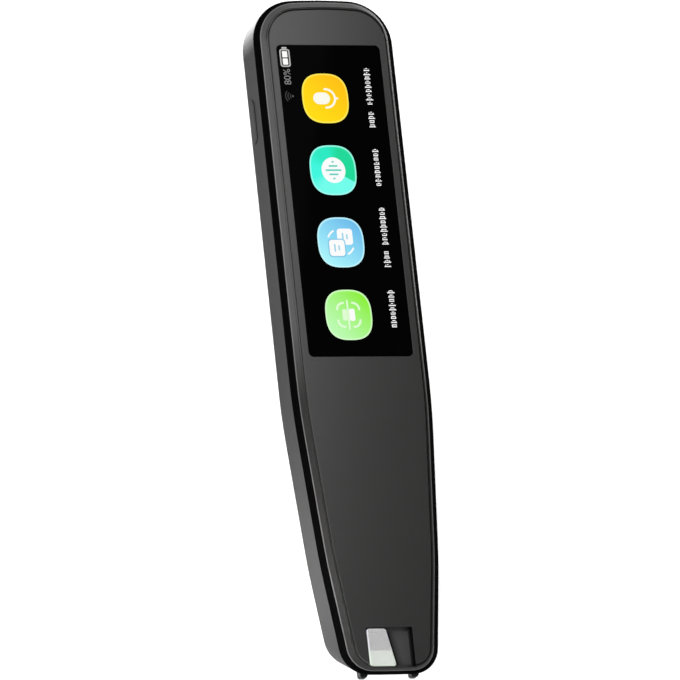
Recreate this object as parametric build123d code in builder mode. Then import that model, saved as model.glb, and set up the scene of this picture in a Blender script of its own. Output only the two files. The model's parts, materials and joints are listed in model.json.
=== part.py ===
"""Handheld scanning translator pen, lying on its back.

Millimetres. +Z points out of the screen, +Y towards the charging end, -Y towards the scanning tip.
The origin is the centre of the footprint, on the plane that the back rests on.
"""

import os
from math import cos, radians, sin, tan

from build123d import *

# ---- driving dimensions ----------------------------------------------------------------------
# The pen is laid out round its screen
SCREEN_WIDTH = 24.2
SCREEN_LENGTH = 72.2
SCREEN_CORNER_R = 1.2
PANEL_BORDER = 1.45        # panel beside the glass
GLASS_TO_END = 11.5
GLASS_TO_TIP = 71.3
BODY_HEIGHT = 12.0

# Plan outline
TOP_CORNER_R = 10.0
TOP_SAG = 1.0              # how far the charging end bulges
LCD_TO_KNEE = 7.6          # the sides leave the straight here
WAIST_TO_TIP = 25.5
WAIST_TAPER = 2.45         # each side, straight part to waist
TIP_TAPER = 5.5            # each side, straight part to tip
TIP_CORNER_R = 6.4
TIP_SAG = 0.25
BLEND_R = 180.0            # rounding of the bends in the sides
TIP_SLANT = 28.0           # degrees that the tip leans back below the band

# Levels and walls
SHELL_WALL = 1.4
SHELL_FLOOR = 1.4
BACK_BEVEL = 1.2
BAND_DROP = 3.1            # front face down to the shell's rim
RIM_DROP = 1.9             # front face down to the bezel's lower edge
PANEL_THICK = 0.8
DECK_THICK = 0.6

# Insets of the stepped front: side, charging end, tip
BAND_INSET = (1.26, 0.9, 0.5)
RIM_INSET = (2.15, 2.7, 0.75)
LIP_WIDTH = 0.25
PANEL_GAP = 0.25
PANEL_EDGE = 0.12          # chamfer round the panel's face
RIM_ROUND = 0.45
SPIGOT_GAP = 0.12          # the frame's spigot inside the shell
SPIGOT_THICK = 0.7
SPIGOT_DEPTH = 1.2
SPIGOT_TO_TIP = 8.5        # the spigot stops here, clear of the trigger

# Display behind the glass
SCREEN_SINK = 0.06         # glass below the panel's face
SCREEN_GAP = 0.1
LCD_SIDE = 0.8             # LCD beyond the visible glass: sides, charging end, tip end
LCD_END = 1.4
LCD_LEDGE = 3.2
LEDGE_LENGTH = 2.2         # bare end of the LCD that carries its flex
LEDGE_DEPTH = 0.5
TRAY_THICK = 0.3
TRAY_WALL = 0.15
TRAY_LIP = 0.9
TRAY_GAP = 0.05
WELL_GAP = 0.2             # the case round the display tray

# Window at the tip
POCKET_X = -0.5
POCKET_WIDTH = 10.6
POCKET_LENGTH = 8.85
POCKET_SINK = 0.6          # floor below the panel's seat
POCKET_SLOPE = 45.0        # degrees of its sloping walls
WINDOW_TOP_WIDTH = 4.4
WINDOW_TIP_WIDTH = 6.1
WINDOW_CORNER_R = 0.6      # charging end
WINDOW_TIP_R = 0.5
WINDOW_THICK = 0.55
WINDOW_SINK = 0.12
WINDOW_GAP = 0.2
WINDOW_BEVEL = 0.25
DIFFUSER_SHARE = 0.58      # share of the window's length with the diffuser behind it
STEM_SIZE = 2.4
STEM_GAP = 0.2
STEM_AIR = 0.15            # diffuser's stem above its light

# Scan opening in the slanted end, measured along the slant
SCAN_ABOVE = 3.2
SCAN_BELOW = 2.88
SCAN_SIDE = 1.5            # opening to the trigger's feet
SCAN_CORNER_R = 1.0
COVER_LAP = 0.6
COVER_THICK = 0.7
COVER_GAP = 0.1

# Camera behind it
CAMERA_WIDTH = 7.2
CAMERA_LENGTH = 5.4
BARREL_AIR = 0.87          # barrel behind the foot of the slant
CAMERA_AIR = 0.3           # housing below the trigger's crossbar
CAMERA_WALL = 0.8
BARREL_LAND = 0.45         # housing's face round the barrel
BARREL_WALL = 0.6
BARREL_PROUD = 1.4
LENS_THICK = 0.7
LENS_LIP = 0.3
LENS_SINK = 0.2
SENSOR_WIDTH = 4.0
SENSOR_GAP = 0.15          # sensor inside the housing, above and below
SENSOR_THICK = 0.6
SENSOR_BOARD_THICK = 0.6

# Press-to-scan trigger
FOOT_FROM_SIDE = 4.85      # middle of a foot to the tip's corner
FOOT_WIDTH = 1.7
FOOT_HEIGHT = 2.2
FOOT_BELOW = 0.2           # feet below the tip board
FOOT_REACH = 0.25          # past the tip's furthest edge
FOOT_ROUND = 0.7
FOOT_GAP = 0.12
TRIGGER_TRAVEL = 0.7
CROSSBAR_TO_TIP = 12.6
CROSSBAR_THICK = 1.6
CROSSBAR_HEIGHT = 1.4

# Power button
BUTTON_TO_END = 26.7
BUTTON_LENGTH = 10.0
BUTTON_PROUD = 0.35
BUTTON_GAP = 0.1
BUTTON_EDGE = 0.25
BUTTON_TRAVEL = 0.35
FLANGE_LAP = 0.5
FLANGE_THICK = 0.6
FLANGE_GAP = 0.05
FLANGE_BELOW = 0.1         # flange to the shell's floor
FLANGE_ABOVE = 0.6         # flange to the main board
BUTTON_STEM = 0.5
BUTTON_STEM_SIZE = 1.6
KEY_FLEX_THICK = 0.15
KEY_FLEX_LENGTH = 7.0
KEY_RIB_THICK = 1.0
KEY_RIB_BELOW = 1.1        # rib's top to the main board

# Side-push switches
SWITCH_LENGTH = 4.6
SWITCH_DEPTH = 1.7
SWITCH_HEIGHT = 1.7
PLUNGER_WIDTH = 1.4
PLUNGER_HEIGHT = 0.9
PLUNGER_IN = 0.5
PLUNGER_SPARE = 0.2        # room left when the plunger is pressed
FIT_GAP = 0.06             # round plungers, stakes and the lens

# Charging socket
PORT_WIDTH = 8.94
PORT_HEIGHT = 3.16
PORT_CORNER_R = 1.5
PORT_DEPTH = 7.3
PORT_WALL = 0.3
PORT_PLUG = 1.6            # moulded block that closes its inner end
PORT_SETBACK = 0.6
PORT_GAP = 0.15
TONGUE_WIDTH = 6.7
TONGUE_THICK = 0.7
TONGUE_LENGTH = 4.6

# Main board
BOARD_THICK = 0.8
BOARD_BELOW = 2.6          # board's underside below the shell's rim
BOARD_EDGE = 0.5           # board clear of the shell's wall
BOARD_TO_END = 10.9
LCD_TO_BOARD = 7.9         # board's tip end past the LCD's
TAB_TO_END = 4.1
TAB_EDGE = 0.2             # tab beside the microphones
CAN_SIZE = 15.0
CAN_HEIGHT = 1.4
CAN_WALL = 0.2
CAN_TO_END = 55.5
CHIP_SIZE = 10.0
CHIP_THICK = 0.9
MEMORY_WIDTH = 8.0
MEMORY_LENGTH = 11.0
MEMORY_TO_END = 35.5
MIC_WIDTH = 2.8
MIC_LENGTH = 1.9
MIC_THICK = 1.0
MIC_HOLE_R = 0.4
MIC_FROM_PORT = 0.43
ANTENNA_WIDTH = 20.0
ANTENNA_LENGTH = 5.0
ANTENNA_THICK = 0.15
ANTENNA_TO_END = 17.5

# Battery
BATTERY_TO_END = 40.5
BATTERY_FROM_BOARD = 2.3   # battery's tip end inside the board's
BATTERY_SIDE = 0.35        # battery to the board's posts
BATTERY_ABOVE = 0.75       # battery to the board
BATTERY_EDGE_R = 0.8
TAPE_THICK = 0.15
TAPE_INSET = 2.0
PLUG_WIDTH = 5.0
PLUG_LENGTH = 3.2
PLUG_HEIGHT = 1.4
LEAD_LENGTH = 3.0
LEAD_R = 0.3
LEAD_SPREAD = 2.0

# Speaker
SPEAKER_LENGTH = 12.0
SPEAKER_WIDTH = 16.0
SPEAKER_CORNER_R = 2.0
SPEAKER_FROM_BOARD = 15.7
CONE_SINK = 0.3
GASKET_THICK = 0.5
GASKET_WIDTH = 1.2
MESH_THICK = 0.15
SLOT_COUNT = 6
SLOT_LENGTH = 8.0
SLOT_WIDTH = 0.8
SLOT_PITCH = 1.6
RIB_THICK = 0.8            # ribs that hold the speaker
RIB_LENGTH = 6.0
RIB_HEIGHT = 2.6
RIB_GAP = 0.15

# Tip board and the stakes that carry it
TIP_BOARD_THICK = 0.6
TIP_BOARD_DROP = 0.3       # below the frame's deck
TIP_BOARD_INSIDE = 0.7     # board's sides inside the middles of the feet
TIP_BOARD_LENGTH = 12.5
TIP_BOARD_TO_TIP = 4.1
STAKE_SIZE = 1.0
STAKE_PAD = 2.0
STAKE_HEAD = 1.6
STAKE_HEAD_THICK = 0.3
STAKE_FROM_BACK = 1.0
STAKE_X = 4.6
LED_SIZE = 1.6
LED_THICK = 0.5
LED_SPREAD = 5.0
LED_FROM_FRONT = 1.2

# Flexes, with the middle of each across the pen
FLEX_THICK = 0.15
FLEX_BEND_R = 0.4
DISPLAY_FLEX_WIDTH = 8.0
DISPLAY_FLEX_IN = 7.3       # from the LCD's side
CAMERA_FLEX_WIDTH = 4.0
CAMERA_FLEX_X = -0.9
TIP_FLEX_WIDTH = 2.4
TIP_FLEX_X = -4.9
FLEX_LAND = 2.4            # how far a flex lies on a board
FLEX_RAMP = 1.0            # clear run beside a board's end
FLEX_RUN = 4.0             # where a flex starts to climb to the board
FLEX_LIFT = 0.1            # display flex above its tray
FLEX_UNDER = 0.9           # display flex below the deck
FLEX_OVER = 0.4            # camera flex above the speaker
FLEX_BELOW_SWITCH = 0.45   # camera flex below the trigger switch
FLEX_SLOT = 2.4            # length of the deck's slot
FLEX_SIDE = 0.5            # slot beside the flex
LCD_TO_SLOT = 3.0

# Screws
END_SCREW_TO_END = 7.5
TIP_SCREW_TO_TIP = 17.9
TIP_SCREW_FROM_SIDE = 4.7
BOSS_R = 1.8
BOSS_GAP = 0.1             # boss to the board's tab
SCREW_R = 0.7
HEAD_R = 1.4
HEAD_THICK = 0.5
SCREW_LENGTH = 4.6
POST_SIZE = 2.7            # square posts that the main board rests on
POST_FROM_WALL = 2.4
POST_FROM_END = 5.3        # board's post to the board's end
SCREW_GAP = 0.08

# ---- levels and places that follow from them -------------------------------------------------
BODY_WIDTH = SCREEN_WIDTH + 2 * (PANEL_BORDER + PANEL_GAP + LIP_WIDTH + RIM_INSET[0])
BODY_LENGTH = GLASS_TO_END + SCREEN_LENGTH + GLASS_TO_TIP
END_Y = BODY_LENGTH / 2
TIP_Y = -BODY_LENGTH / 2
WALL_X = BODY_WIDTH / 2
INNER_X = WALL_X - SHELL_WALL
TIP_HALF = WALL_X - TIP_TAPER
SHELL_TOP = BODY_HEIGHT - BAND_DROP
FRAME_TOP = BODY_HEIGHT - RIM_DROP
PANEL_SEAT = BODY_HEIGHT - PANEL_THICK
DECK_TOP = SHELL_TOP + DECK_THICK
SEAT_INSET = tuple(inset + LIP_WIDTH for inset in RIM_INSET)
PANEL_INSET = tuple(inset + PANEL_GAP for inset in SEAT_INSET)

SCREEN_Y = END_Y - GLASS_TO_END - SCREEN_LENGTH / 2
LCD_WIDTH = SCREEN_WIDTH + 2 * LCD_SIDE
LCD_LENGTH = SCREEN_LENGTH + LCD_END + LCD_LEDGE
LCD_Y = SCREEN_Y + (LCD_END - LCD_LEDGE) / 2
LCD_TIP_Y = LCD_Y - LCD_LENGTH / 2
TRAY_WIDTH = LCD_WIDTH + 2 * (TRAY_GAP + TRAY_WALL)
TRAY_LENGTH = LCD_LENGTH + 2 * (TRAY_GAP + TRAY_WALL)
WELL_WIDTH = TRAY_WIDTH + 2 * WELL_GAP
WELL_LENGTH = TRAY_LENGTH + 2 * WELL_GAP
WELL_SIDE = WALL_X - WELL_WIDTH / 2
WELL_INSET = (WELL_SIDE, WELL_SIDE + RIM_INSET[1] - RIM_INSET[0], WELL_SIDE)
KNEE_Y = LCD_TIP_Y - LCD_TO_KNEE
WAIST_Y = TIP_Y + WAIST_TO_TIP

POCKET_TIP_Y = TIP_Y + SEAT_INSET[2]
POCKET_Y = POCKET_TIP_Y + POCKET_LENGTH / 2
POCKET_FLOOR = PANEL_SEAT - POCKET_SINK
WINDOW_LEFT = POCKET_X - POCKET_WIDTH / 2 + WINDOW_GAP
WINDOW_TIP_Y = POCKET_TIP_Y + WINDOW_GAP
WINDOW_END_Y = POCKET_TIP_Y + POCKET_LENGTH - WINDOW_GAP
WINDOW_SPLIT_Y = WINDOW_END_Y - DIFFUSER_SHARE * (WINDOW_END_Y - WINDOW_TIP_Y)
WINDOW_Z = BODY_HEIGHT - WINDOW_SINK - WINDOW_THICK
STEM_X = WINDOW_LEFT + WINDOW_TOP_WIDTH / 2
STEM_Y = (WINDOW_END_Y + WINDOW_SPLIT_Y) / 2

TIP_BOARD_TOP = SHELL_TOP - TIP_BOARD_DROP
TIP_BOARD_Z = TIP_BOARD_TOP - TIP_BOARD_THICK
TIP_BOARD_FRONT_Y = TIP_Y + TIP_BOARD_TO_TIP
TIP_BOARD_BACK_Y = TIP_BOARD_FRONT_Y + TIP_BOARD_LENGTH
LED_Y = TIP_BOARD_FRONT_Y + LED_FROM_FRONT
STAKES = [(STAKE_X, TIP_BOARD_BACK_Y - STAKE_FROM_BACK), (0, STEM_Y)]
STEM_LENGTH = POCKET_FLOOR - TIP_BOARD_TOP - LED_THICK - STEM_AIR

FOOT_SPREAD = 2 * (TIP_HALF - FOOT_FROM_SIDE)
FOOT_TOP_Z = TIP_BOARD_Z - FOOT_BELOW
FOOT_Z = FOOT_TOP_Z - FOOT_HEIGHT / 2
CROSSBAR_Y = TIP_Y + CROSSBAR_TO_TIP
CROSSBAR_Z = FOOT_TOP_Z - CROSSBAR_HEIGHT / 2
ARM_BACK_Y = CROSSBAR_Y + CROSSBAR_THICK / 2
TRIGGER_OUT = TRIGGER_TRAVEL + PLUNGER_SPARE
TRIGGER_SWITCH_Y = ARM_BACK_Y + TRIGGER_OUT

SLANT = radians(TIP_SLANT)
SLANT_WALL = SHELL_WALL * cos(SLANT)
SCAN_WIDTH = FOOT_SPREAD - FOOT_WIDTH - 2 * SCAN_SIDE
SCAN_HEIGHT = SHELL_TOP / cos(SLANT) - SCAN_ABOVE - SCAN_BELOW
SCAN_DOWN = SCAN_ABOVE + SCAN_HEIGHT / 2
SLANT_PLANE = Plane(
    origin=(0, TIP_Y + SCAN_DOWN * sin(SLANT), SHELL_TOP - SCAN_DOWN * cos(SLANT)),
    x_dir=(1, 0, 0),
    z_dir=(0, -cos(SLANT), -sin(SLANT)),
)

CAMERA_HEIGHT = FOOT_TOP_Z - CROSSBAR_HEIGHT - CAMERA_AIR - SHELL_FLOOR
BARREL_FRONT_Y = TIP_Y + SHELL_TOP * tan(SLANT) + BARREL_AIR
CAMERA_FRONT_Y = BARREL_FRONT_Y + BARREL_PROUD
CAMERA_Y = CAMERA_FRONT_Y + CAMERA_LENGTH / 2
CAMERA_Z = SHELL_FLOOR + CAMERA_HEIGHT / 2
CAMERA_BACK_Y = CAMERA_Y + CAMERA_LENGTH / 2
CAMERA_BOARD_BACK_Y = CAMERA_BACK_Y + SENSOR_BOARD_THICK
BARREL_R = CAMERA_HEIGHT / 2 - BARREL_LAND
LENS_R = BARREL_R - BARREL_WALL
SENSOR_HEIGHT = CAMERA_HEIGHT - 2 * (CAMERA_WALL + SENSOR_GAP)

BOARD_Z = SHELL_TOP - BOARD_BELOW
BOARD_TOP = BOARD_Z + BOARD_THICK
BOARD_END_Y = END_Y - BOARD_TO_END
BOARD_TIP_Y = LCD_TIP_Y - LCD_TO_BOARD
TAB_Y = END_Y - TAB_TO_END
CAN_Y = END_Y - CAN_TO_END
MEMORY_Y = END_Y - MEMORY_TO_END
MIC_X = PORT_WIDTH / 2 + MIC_FROM_PORT + MIC_WIDTH / 2
MIC_Z = BOARD_Z - MIC_THICK / 2
TAB_HALF = MIC_X + MIC_WIDTH / 2 + TAB_EDGE
PORT_Z = BOARD_Z - PORT_HEIGHT / 2
PORT_FRONT_Y = END_Y - PORT_SETBACK
PORT_PLUG_Y = PORT_FRONT_Y - PORT_DEPTH

POST_X = INNER_X - POST_FROM_WALL
POSTS = [
    (-POST_X, BOARD_END_Y - POST_FROM_END),
    (POST_X, BOARD_END_Y - POST_FROM_END),
    (-POST_X, BOARD_TIP_Y + POST_FROM_END),
    (POST_X, BOARD_TIP_Y + POST_FROM_END),
]
END_SCREW_X = TAB_HALF + BOSS_GAP + BOSS_R
TIP_SCREW_Y = TIP_Y + TIP_SCREW_TO_TIP
TIP_SCREW_TAPER = WAIST_TAPER + (TIP_TAPER - WAIST_TAPER) * (WAIST_Y - TIP_SCREW_Y) / WAIST_TO_TIP
TIP_SCREW_X = WALL_X - TIP_SCREW_TAPER - TIP_SCREW_FROM_SIDE
CASE_SCREWS = [
    (-END_SCREW_X, END_Y - END_SCREW_TO_END),
    (END_SCREW_X, END_Y - END_SCREW_TO_END),
    (-TIP_SCREW_X, TIP_SCREW_Y),
    (TIP_SCREW_X, TIP_SCREW_Y),
]

BUTTON_Y = END_Y - BUTTON_TO_END
BUTTON_HEIGHT = BOARD_Z - SHELL_FLOOR - FLANGE_BELOW - FLANGE_ABOVE - 2 * FLANGE_LAP
BUTTON_Z = SHELL_FLOOR + FLANGE_BELOW + FLANGE_LAP + BUTTON_HEIGHT / 2
BUTTON_OUT = BUTTON_TRAVEL + PLUNGER_SPARE
BUTTON_FLANGE_X = -INNER_X + FLANGE_GAP
BUTTON_STEM_X = BUTTON_FLANGE_X + FLANGE_THICK + BUTTON_STEM
POWER_SWITCH_X = BUTTON_STEM_X + BUTTON_OUT
KEY_FLEX_X = POWER_SWITCH_X + SWITCH_DEPTH
KEY_RIB_X = KEY_FLEX_X + KEY_FLEX_THICK

BATTERY_Z = SHELL_FLOOR + TAPE_THICK
BATTERY_THICK = BOARD_Z - BATTERY_ABOVE - BATTERY_Z
BATTERY_WIDTH = 2 * (POST_X - POST_SIZE / 2 - BATTERY_SIDE)
BATTERY_TIP_Y = BOARD_TIP_Y + BATTERY_FROM_BOARD
BATTERY_END_Y = END_Y - BATTERY_TO_END
BATTERY_LENGTH = BATTERY_END_Y - BATTERY_TIP_Y
BATTERY_Y = (BATTERY_END_Y + BATTERY_TIP_Y) / 2
PLUG_Y = BATTERY_END_Y + LEAD_LENGTH + PLUG_LENGTH / 2
LEAD_Z = (BATTERY_Z + BATTERY_THICK + BOARD_Z - PLUG_HEIGHT) / 2

SPEAKER_Y = BOARD_TIP_Y - SPEAKER_FROM_BOARD
SPEAKER_Z = SHELL_FLOOR + MESH_THICK + GASKET_THICK
CAMERA_FLEX_Z = TIP_BOARD_Z - SWITCH_HEIGHT - FLEX_BELOW_SWITCH
SPEAKER_THICK = CAMERA_FLEX_Z - FLEX_OVER - SPEAKER_Z
DISPLAY_FLEX_X = LCD_WIDTH / 2 - DISPLAY_FLEX_IN
DISPLAY_FLEX_Z = DECK_TOP + TRAY_THICK + FLEX_LIFT + FLEX_THICK / 2
FLEX_SLOT_Y = LCD_TIP_Y - LCD_TO_SLOT
FLEX_MID = BOARD_TOP + FLEX_THICK / 2
TIP_FLEX_Z = TIP_BOARD_Z - FLEX_THICK / 2


def plan(level, inset=(0, 0, 0), lean=0):
    """The pen's plan outline at a level, brought in at the sides, the charging end and the tip."""
    side, end, tip = inset
    end_y = END_Y - end - TOP_SAG
    tip_y = TIP_Y + tip + TIP_SAG
    half = WALL_X - side
    waist = half - WAIST_TAPER
    # a leaning tip slides back along the straight sides
    tip_half = half - TIP_TAPER + lean * (TIP_TAPER - WAIST_TAPER) / (WAIST_Y - tip_y)
    tip_y += lean
    with BuildSketch(Plane.XY.offset(level)) as outline:
        with BuildLine():
            ThreePointArc((-half, end_y), (0, end_y + TOP_SAG), (half, end_y))
            Polyline((half, end_y), (half, KNEE_Y), (waist, WAIST_Y), (tip_half, tip_y))
            ThreePointArc((tip_half, tip_y), (0, tip_y - TIP_SAG), (-tip_half, tip_y))
            Polyline((-tip_half, tip_y), (-waist, WAIST_Y), (-half, KNEE_Y), (-half, end_y))
        make_face()
        # corner pairs from the charging end down: end, knee, waist and tip
        end_r = TOP_CORNER_R - (side + end) / 2
        tip_r = TIP_CORNER_R - (side + tip) / 2
        for row, radius in ((3, end_r), (2, BLEND_R), (1, BLEND_R), (0, tip_r)):
            fillet(outline.vertices().group_by(Axis.Y)[row], radius)
    return outline.sketch


def slanted_plan(level, wall=0):
    """The back shell's outline at a level, with the tip end leaning back below the rim."""
    return plan(level, (wall, wall, wall), lean=(SHELL_TOP - level) * tan(SLANT))


def window_face(level, start_y, end_y, grow=0):
    """A slice of the window's outline, straight on the left and widening towards the tip."""
    spread = (WINDOW_TIP_WIDTH - WINDOW_TOP_WIDTH) / (WINDOW_END_Y - WINDOW_TIP_Y)
    top_x = WINDOW_LEFT + WINDOW_TOP_WIDTH
    start = (top_x + (WINDOW_END_Y - start_y) * spread, start_y)
    end = (top_x + (WINDOW_END_Y - end_y) * spread, end_y)
    with BuildSketch(Plane.XY.offset(level)) as outline:
        with BuildLine():
            Polyline((WINDOW_LEFT, start_y), start, end, (WINDOW_LEFT, end_y), close=True)
        make_face()
        if grow:
            offset(amount=grow)
    return outline.sketch


def button_plane(x):
    """A plane across the power button's axis, facing into the pen."""
    return Plane((x, BUTTON_Y, BUTTON_Z), x_dir=(0, 1, 0), z_dir=(1, 0, 0))


def port_plane(y, inwards):
    """A plane across the charging socket's axis, facing into the pen or out of it."""
    return Plane((0, y, PORT_Z), x_dir=(1, 0, 0), z_dir=(0, -1 if inwards else 1, 0))


def flex_strip(route, width, middle):
    """A thin flexible circuit along a route of (y, z) points, centred at middle across the pen."""
    with BuildPart() as strip:
        with BuildSketch(Plane.YZ.offset(middle)):
            with BuildLine():
                FilletPolyline(*route, radius=FLEX_BEND_R)
            trace(line_width=FLEX_THICK)
        extrude(amount=width / 2, both=True)
    return strip


os.makedirs("parts", exist_ok=True)

# ---- back shell: a tray with a slanted tip, screw bosses and the openings of the case ----------
with BuildPart() as back_shell:
    loft([slanted_plan(0), slanted_plan(SHELL_TOP)], ruled=True)
    chamfer(back_shell.faces().sort_by(Axis.Z)[0].edges(), BACK_BEVEL)
    loft(
        [slanted_plan(SHELL_FLOOR, SHELL_WALL), slanted_plan(SHELL_TOP, SHELL_WALL)],
        ruled=True,
        mode=Mode.SUBTRACT,
    )
    with BuildSketch(Plane.XY.offset(SHELL_FLOOR)):
        with Locations(*CASE_SCREWS):
            Circle(BOSS_R)
    extrude(amount=SHELL_TOP - SHELL_FLOOR)
    with BuildSketch(Plane.XY.offset(SHELL_FLOOR)):
        with Locations(*POSTS):
            Rectangle(POST_SIZE, POST_SIZE)
    extrude(amount=BOARD_Z - SHELL_FLOOR)
    with BuildSketch(Plane.XY.offset(SHELL_FLOOR)):
        with Locations((KEY_RIB_X + KEY_RIB_THICK / 2, BUTTON_Y)):
            Rectangle(KEY_RIB_THICK, KEY_FLEX_LENGTH)
    extrude(amount=BOARD_Z - KEY_RIB_BELOW - SHELL_FLOOR)
    # ribs that hold the speaker
    with BuildSketch(Plane.XY.offset(SHELL_FLOOR)):
        with Locations((0, SPEAKER_Y)):
            with GridLocations(SPEAKER_WIDTH + 2 * RIB_GAP + RIB_THICK, 0, 2, 1):
                Rectangle(RIB_THICK, RIB_LENGTH)
            with GridLocations(0, SPEAKER_LENGTH + 2 * RIB_GAP + RIB_THICK, 1, 2):
                Rectangle(RIB_LENGTH, RIB_THICK)
    extrude(amount=RIB_HEIGHT)
    # screw holes down the bosses
    with Locations(*[(x, y, SHELL_TOP) for x, y in CASE_SCREWS]):
        Hole(SCREW_R + SCREW_GAP, depth=SCREW_LENGTH)
    # speaker slots through the floor
    with BuildSketch(Plane.XY):
        with Locations((0, SPEAKER_Y)):
            with GridLocations(0, SLOT_PITCH, 1, SLOT_COUNT):
                Rectangle(SLOT_LENGTH, SLOT_WIDTH)
    extrude(amount=SHELL_FLOOR, mode=Mode.SUBTRACT)
    # power button slot in the left wall
    with BuildSketch(button_plane(-WALL_X)):
        SlotOverall(BUTTON_LENGTH + 2 * BUTTON_GAP, BUTTON_HEIGHT + 2 * BUTTON_GAP)
    extrude(amount=SHELL_WALL, mode=Mode.SUBTRACT)
    # charging socket and microphone holes in the end wall
    with BuildSketch(port_plane(END_Y, inwards=True)):
        RectangleRounded(PORT_WIDTH + 2 * PORT_GAP, PORT_HEIGHT + 2 * PORT_GAP, PORT_CORNER_R + PORT_GAP)
        with Locations((-MIC_X, MIC_Z - PORT_Z), (MIC_X, MIC_Z - PORT_Z)):
            Circle(MIC_HOLE_R)
    extrude(amount=SHELL_WALL + TOP_SAG, mode=Mode.SUBTRACT)
    # scan opening in the slanted tip, with a flat seat for its cover
    with BuildSketch(SLANT_PLANE):
        RectangleRounded(SCAN_WIDTH, SCAN_HEIGHT, SCAN_CORNER_R)
    extrude(amount=SLANT_WALL + SHELL_WALL, both=True, mode=Mode.SUBTRACT)
    with BuildSketch(SLANT_PLANE.offset(-SLANT_WALL)):
        RectangleRounded(
            SCAN_WIDTH + 2 * (COVER_LAP + COVER_GAP),
            SCAN_HEIGHT + 2 * (COVER_LAP + COVER_GAP),
            SCAN_CORNER_R + COVER_LAP + COVER_GAP,
        )
    extrude(amount=-COVER_THICK, mode=Mode.SUBTRACT)
    # slots that the trigger's feet come out of
    with BuildSketch(Plane.XZ.offset(-TIP_Y)):
        with Locations((0, FOOT_Z)):
            with GridLocations(FOOT_SPREAD, 0, 2, 1):
                Rectangle(FOOT_WIDTH + 2 * FOOT_GAP, FOOT_HEIGHT + 2 * FOOT_GAP)
    extrude(amount=-(SHELL_WALL + TIP_CORNER_R), mode=Mode.SUBTRACT)
back_shell.part.label = "back_shell"
export_step(back_shell.part, "parts/back_shell.step")

# ---- middle frame: the glossy band, its deck and the spigot inside the shell --------------------
with BuildPart() as middle_frame:
    loft([plan(SHELL_TOP), plan(FRAME_TOP, BAND_INSET)], ruled=True)
    extrude(plan(DECK_TOP, WELL_INSET), amount=FRAME_TOP - DECK_TOP, mode=Mode.SUBTRACT)
    spigot_out = SHELL_WALL + SPIGOT_GAP
    spigot_in = spigot_out + SPIGOT_THICK
    with BuildSketch(Plane.XY.offset(SHELL_TOP - SPIGOT_DEPTH)):
        add(plan(0, (spigot_out,) * 3))
        add(plan(0, (spigot_in,) * 3), mode=Mode.SUBTRACT)
        with Locations((0, TIP_Y)):
            Rectangle(BODY_WIDTH, 2 * SPIGOT_TO_TIP, mode=Mode.SUBTRACT)
    extrude(amount=SPIGOT_DEPTH)
    # pads and stakes under the deck that carry the tip board
    with BuildSketch(Plane.XY.offset(TIP_BOARD_TOP)):
        with Locations(*STAKES):
            Rectangle(STAKE_PAD, STAKE_PAD)
    extrude(amount=TIP_BOARD_DROP)
    with BuildSketch(Plane.XY.offset(TIP_BOARD_Z)):
        with Locations(*STAKES):
            Rectangle(STAKE_SIZE, STAKE_SIZE)
    extrude(amount=TIP_BOARD_THICK + TIP_BOARD_DROP)
    with BuildSketch(Plane.XY.offset(TIP_BOARD_Z - STAKE_HEAD_THICK)):
        with Locations(*STAKES):
            Rectangle(STAKE_HEAD, STAKE_HEAD)
    extrude(amount=STAKE_HEAD_THICK)
    # screw holes, the display flex's slot and the light pipe's hole
    with BuildSketch(Plane.XY.offset(SHELL_TOP)):
        with Locations(*CASE_SCREWS):
            Circle(SCREW_R + SCREW_GAP)
        with Locations((DISPLAY_FLEX_X, FLEX_SLOT_Y)):
            Rectangle(DISPLAY_FLEX_WIDTH + 2 * FLEX_SIDE, FLEX_SLOT)
        with Locations((STEM_X, STEM_Y)):
            Rectangle(STEM_SIZE + 2 * STEM_GAP, STEM_SIZE + 2 * STEM_GAP)
    extrude(amount=DECK_THICK, mode=Mode.SUBTRACT)
middle_frame.part.label = "middle_frame"
export_step(middle_frame.part, "parts/middle_frame.step")

# ---- front bezel: the rim, the panel's seat, the display opening and the window's pocket --------
with BuildPart() as front_bezel:
    loft([plan(FRAME_TOP, BAND_INSET), plan(BODY_HEIGHT, RIM_INSET)], ruled=True)
    fillet(front_bezel.faces().sort_by(Axis.Z)[-1].edges(), RIM_ROUND)
    extrude(plan(PANEL_SEAT, SEAT_INSET), amount=PANEL_THICK, mode=Mode.SUBTRACT)
    with BuildSketch(Plane.XY.offset(FRAME_TOP)):
        with Locations((0, LCD_Y)):
            Rectangle(WELL_WIDTH, WELL_LENGTH)
        with Locations((STEM_X, STEM_Y)):
            Rectangle(STEM_SIZE + 2 * STEM_GAP, STEM_SIZE + 2 * STEM_GAP)
    extrude(amount=PANEL_SEAT - FRAME_TOP, mode=Mode.SUBTRACT)
    with BuildSketch(Plane.XY.offset(PANEL_SEAT)):
        with Locations((POCKET_X, POCKET_Y)):
            Rectangle(POCKET_WIDTH, POCKET_LENGTH)
    extrude(amount=-POCKET_SINK, taper=POCKET_SLOPE, mode=Mode.SUBTRACT)
    # room for the window's straight-sided pieces at the sloping walls
    extrude(
        window_face(POCKET_FLOOR, WINDOW_TIP_Y, WINDOW_END_Y, grow=WINDOW_GAP / 2),
        amount=POCKET_SINK,
        mode=Mode.SUBTRACT,
    )
front_bezel.part.label = "front_bezel"
export_step(front_bezel.part, "parts/front_bezel.step")

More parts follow.
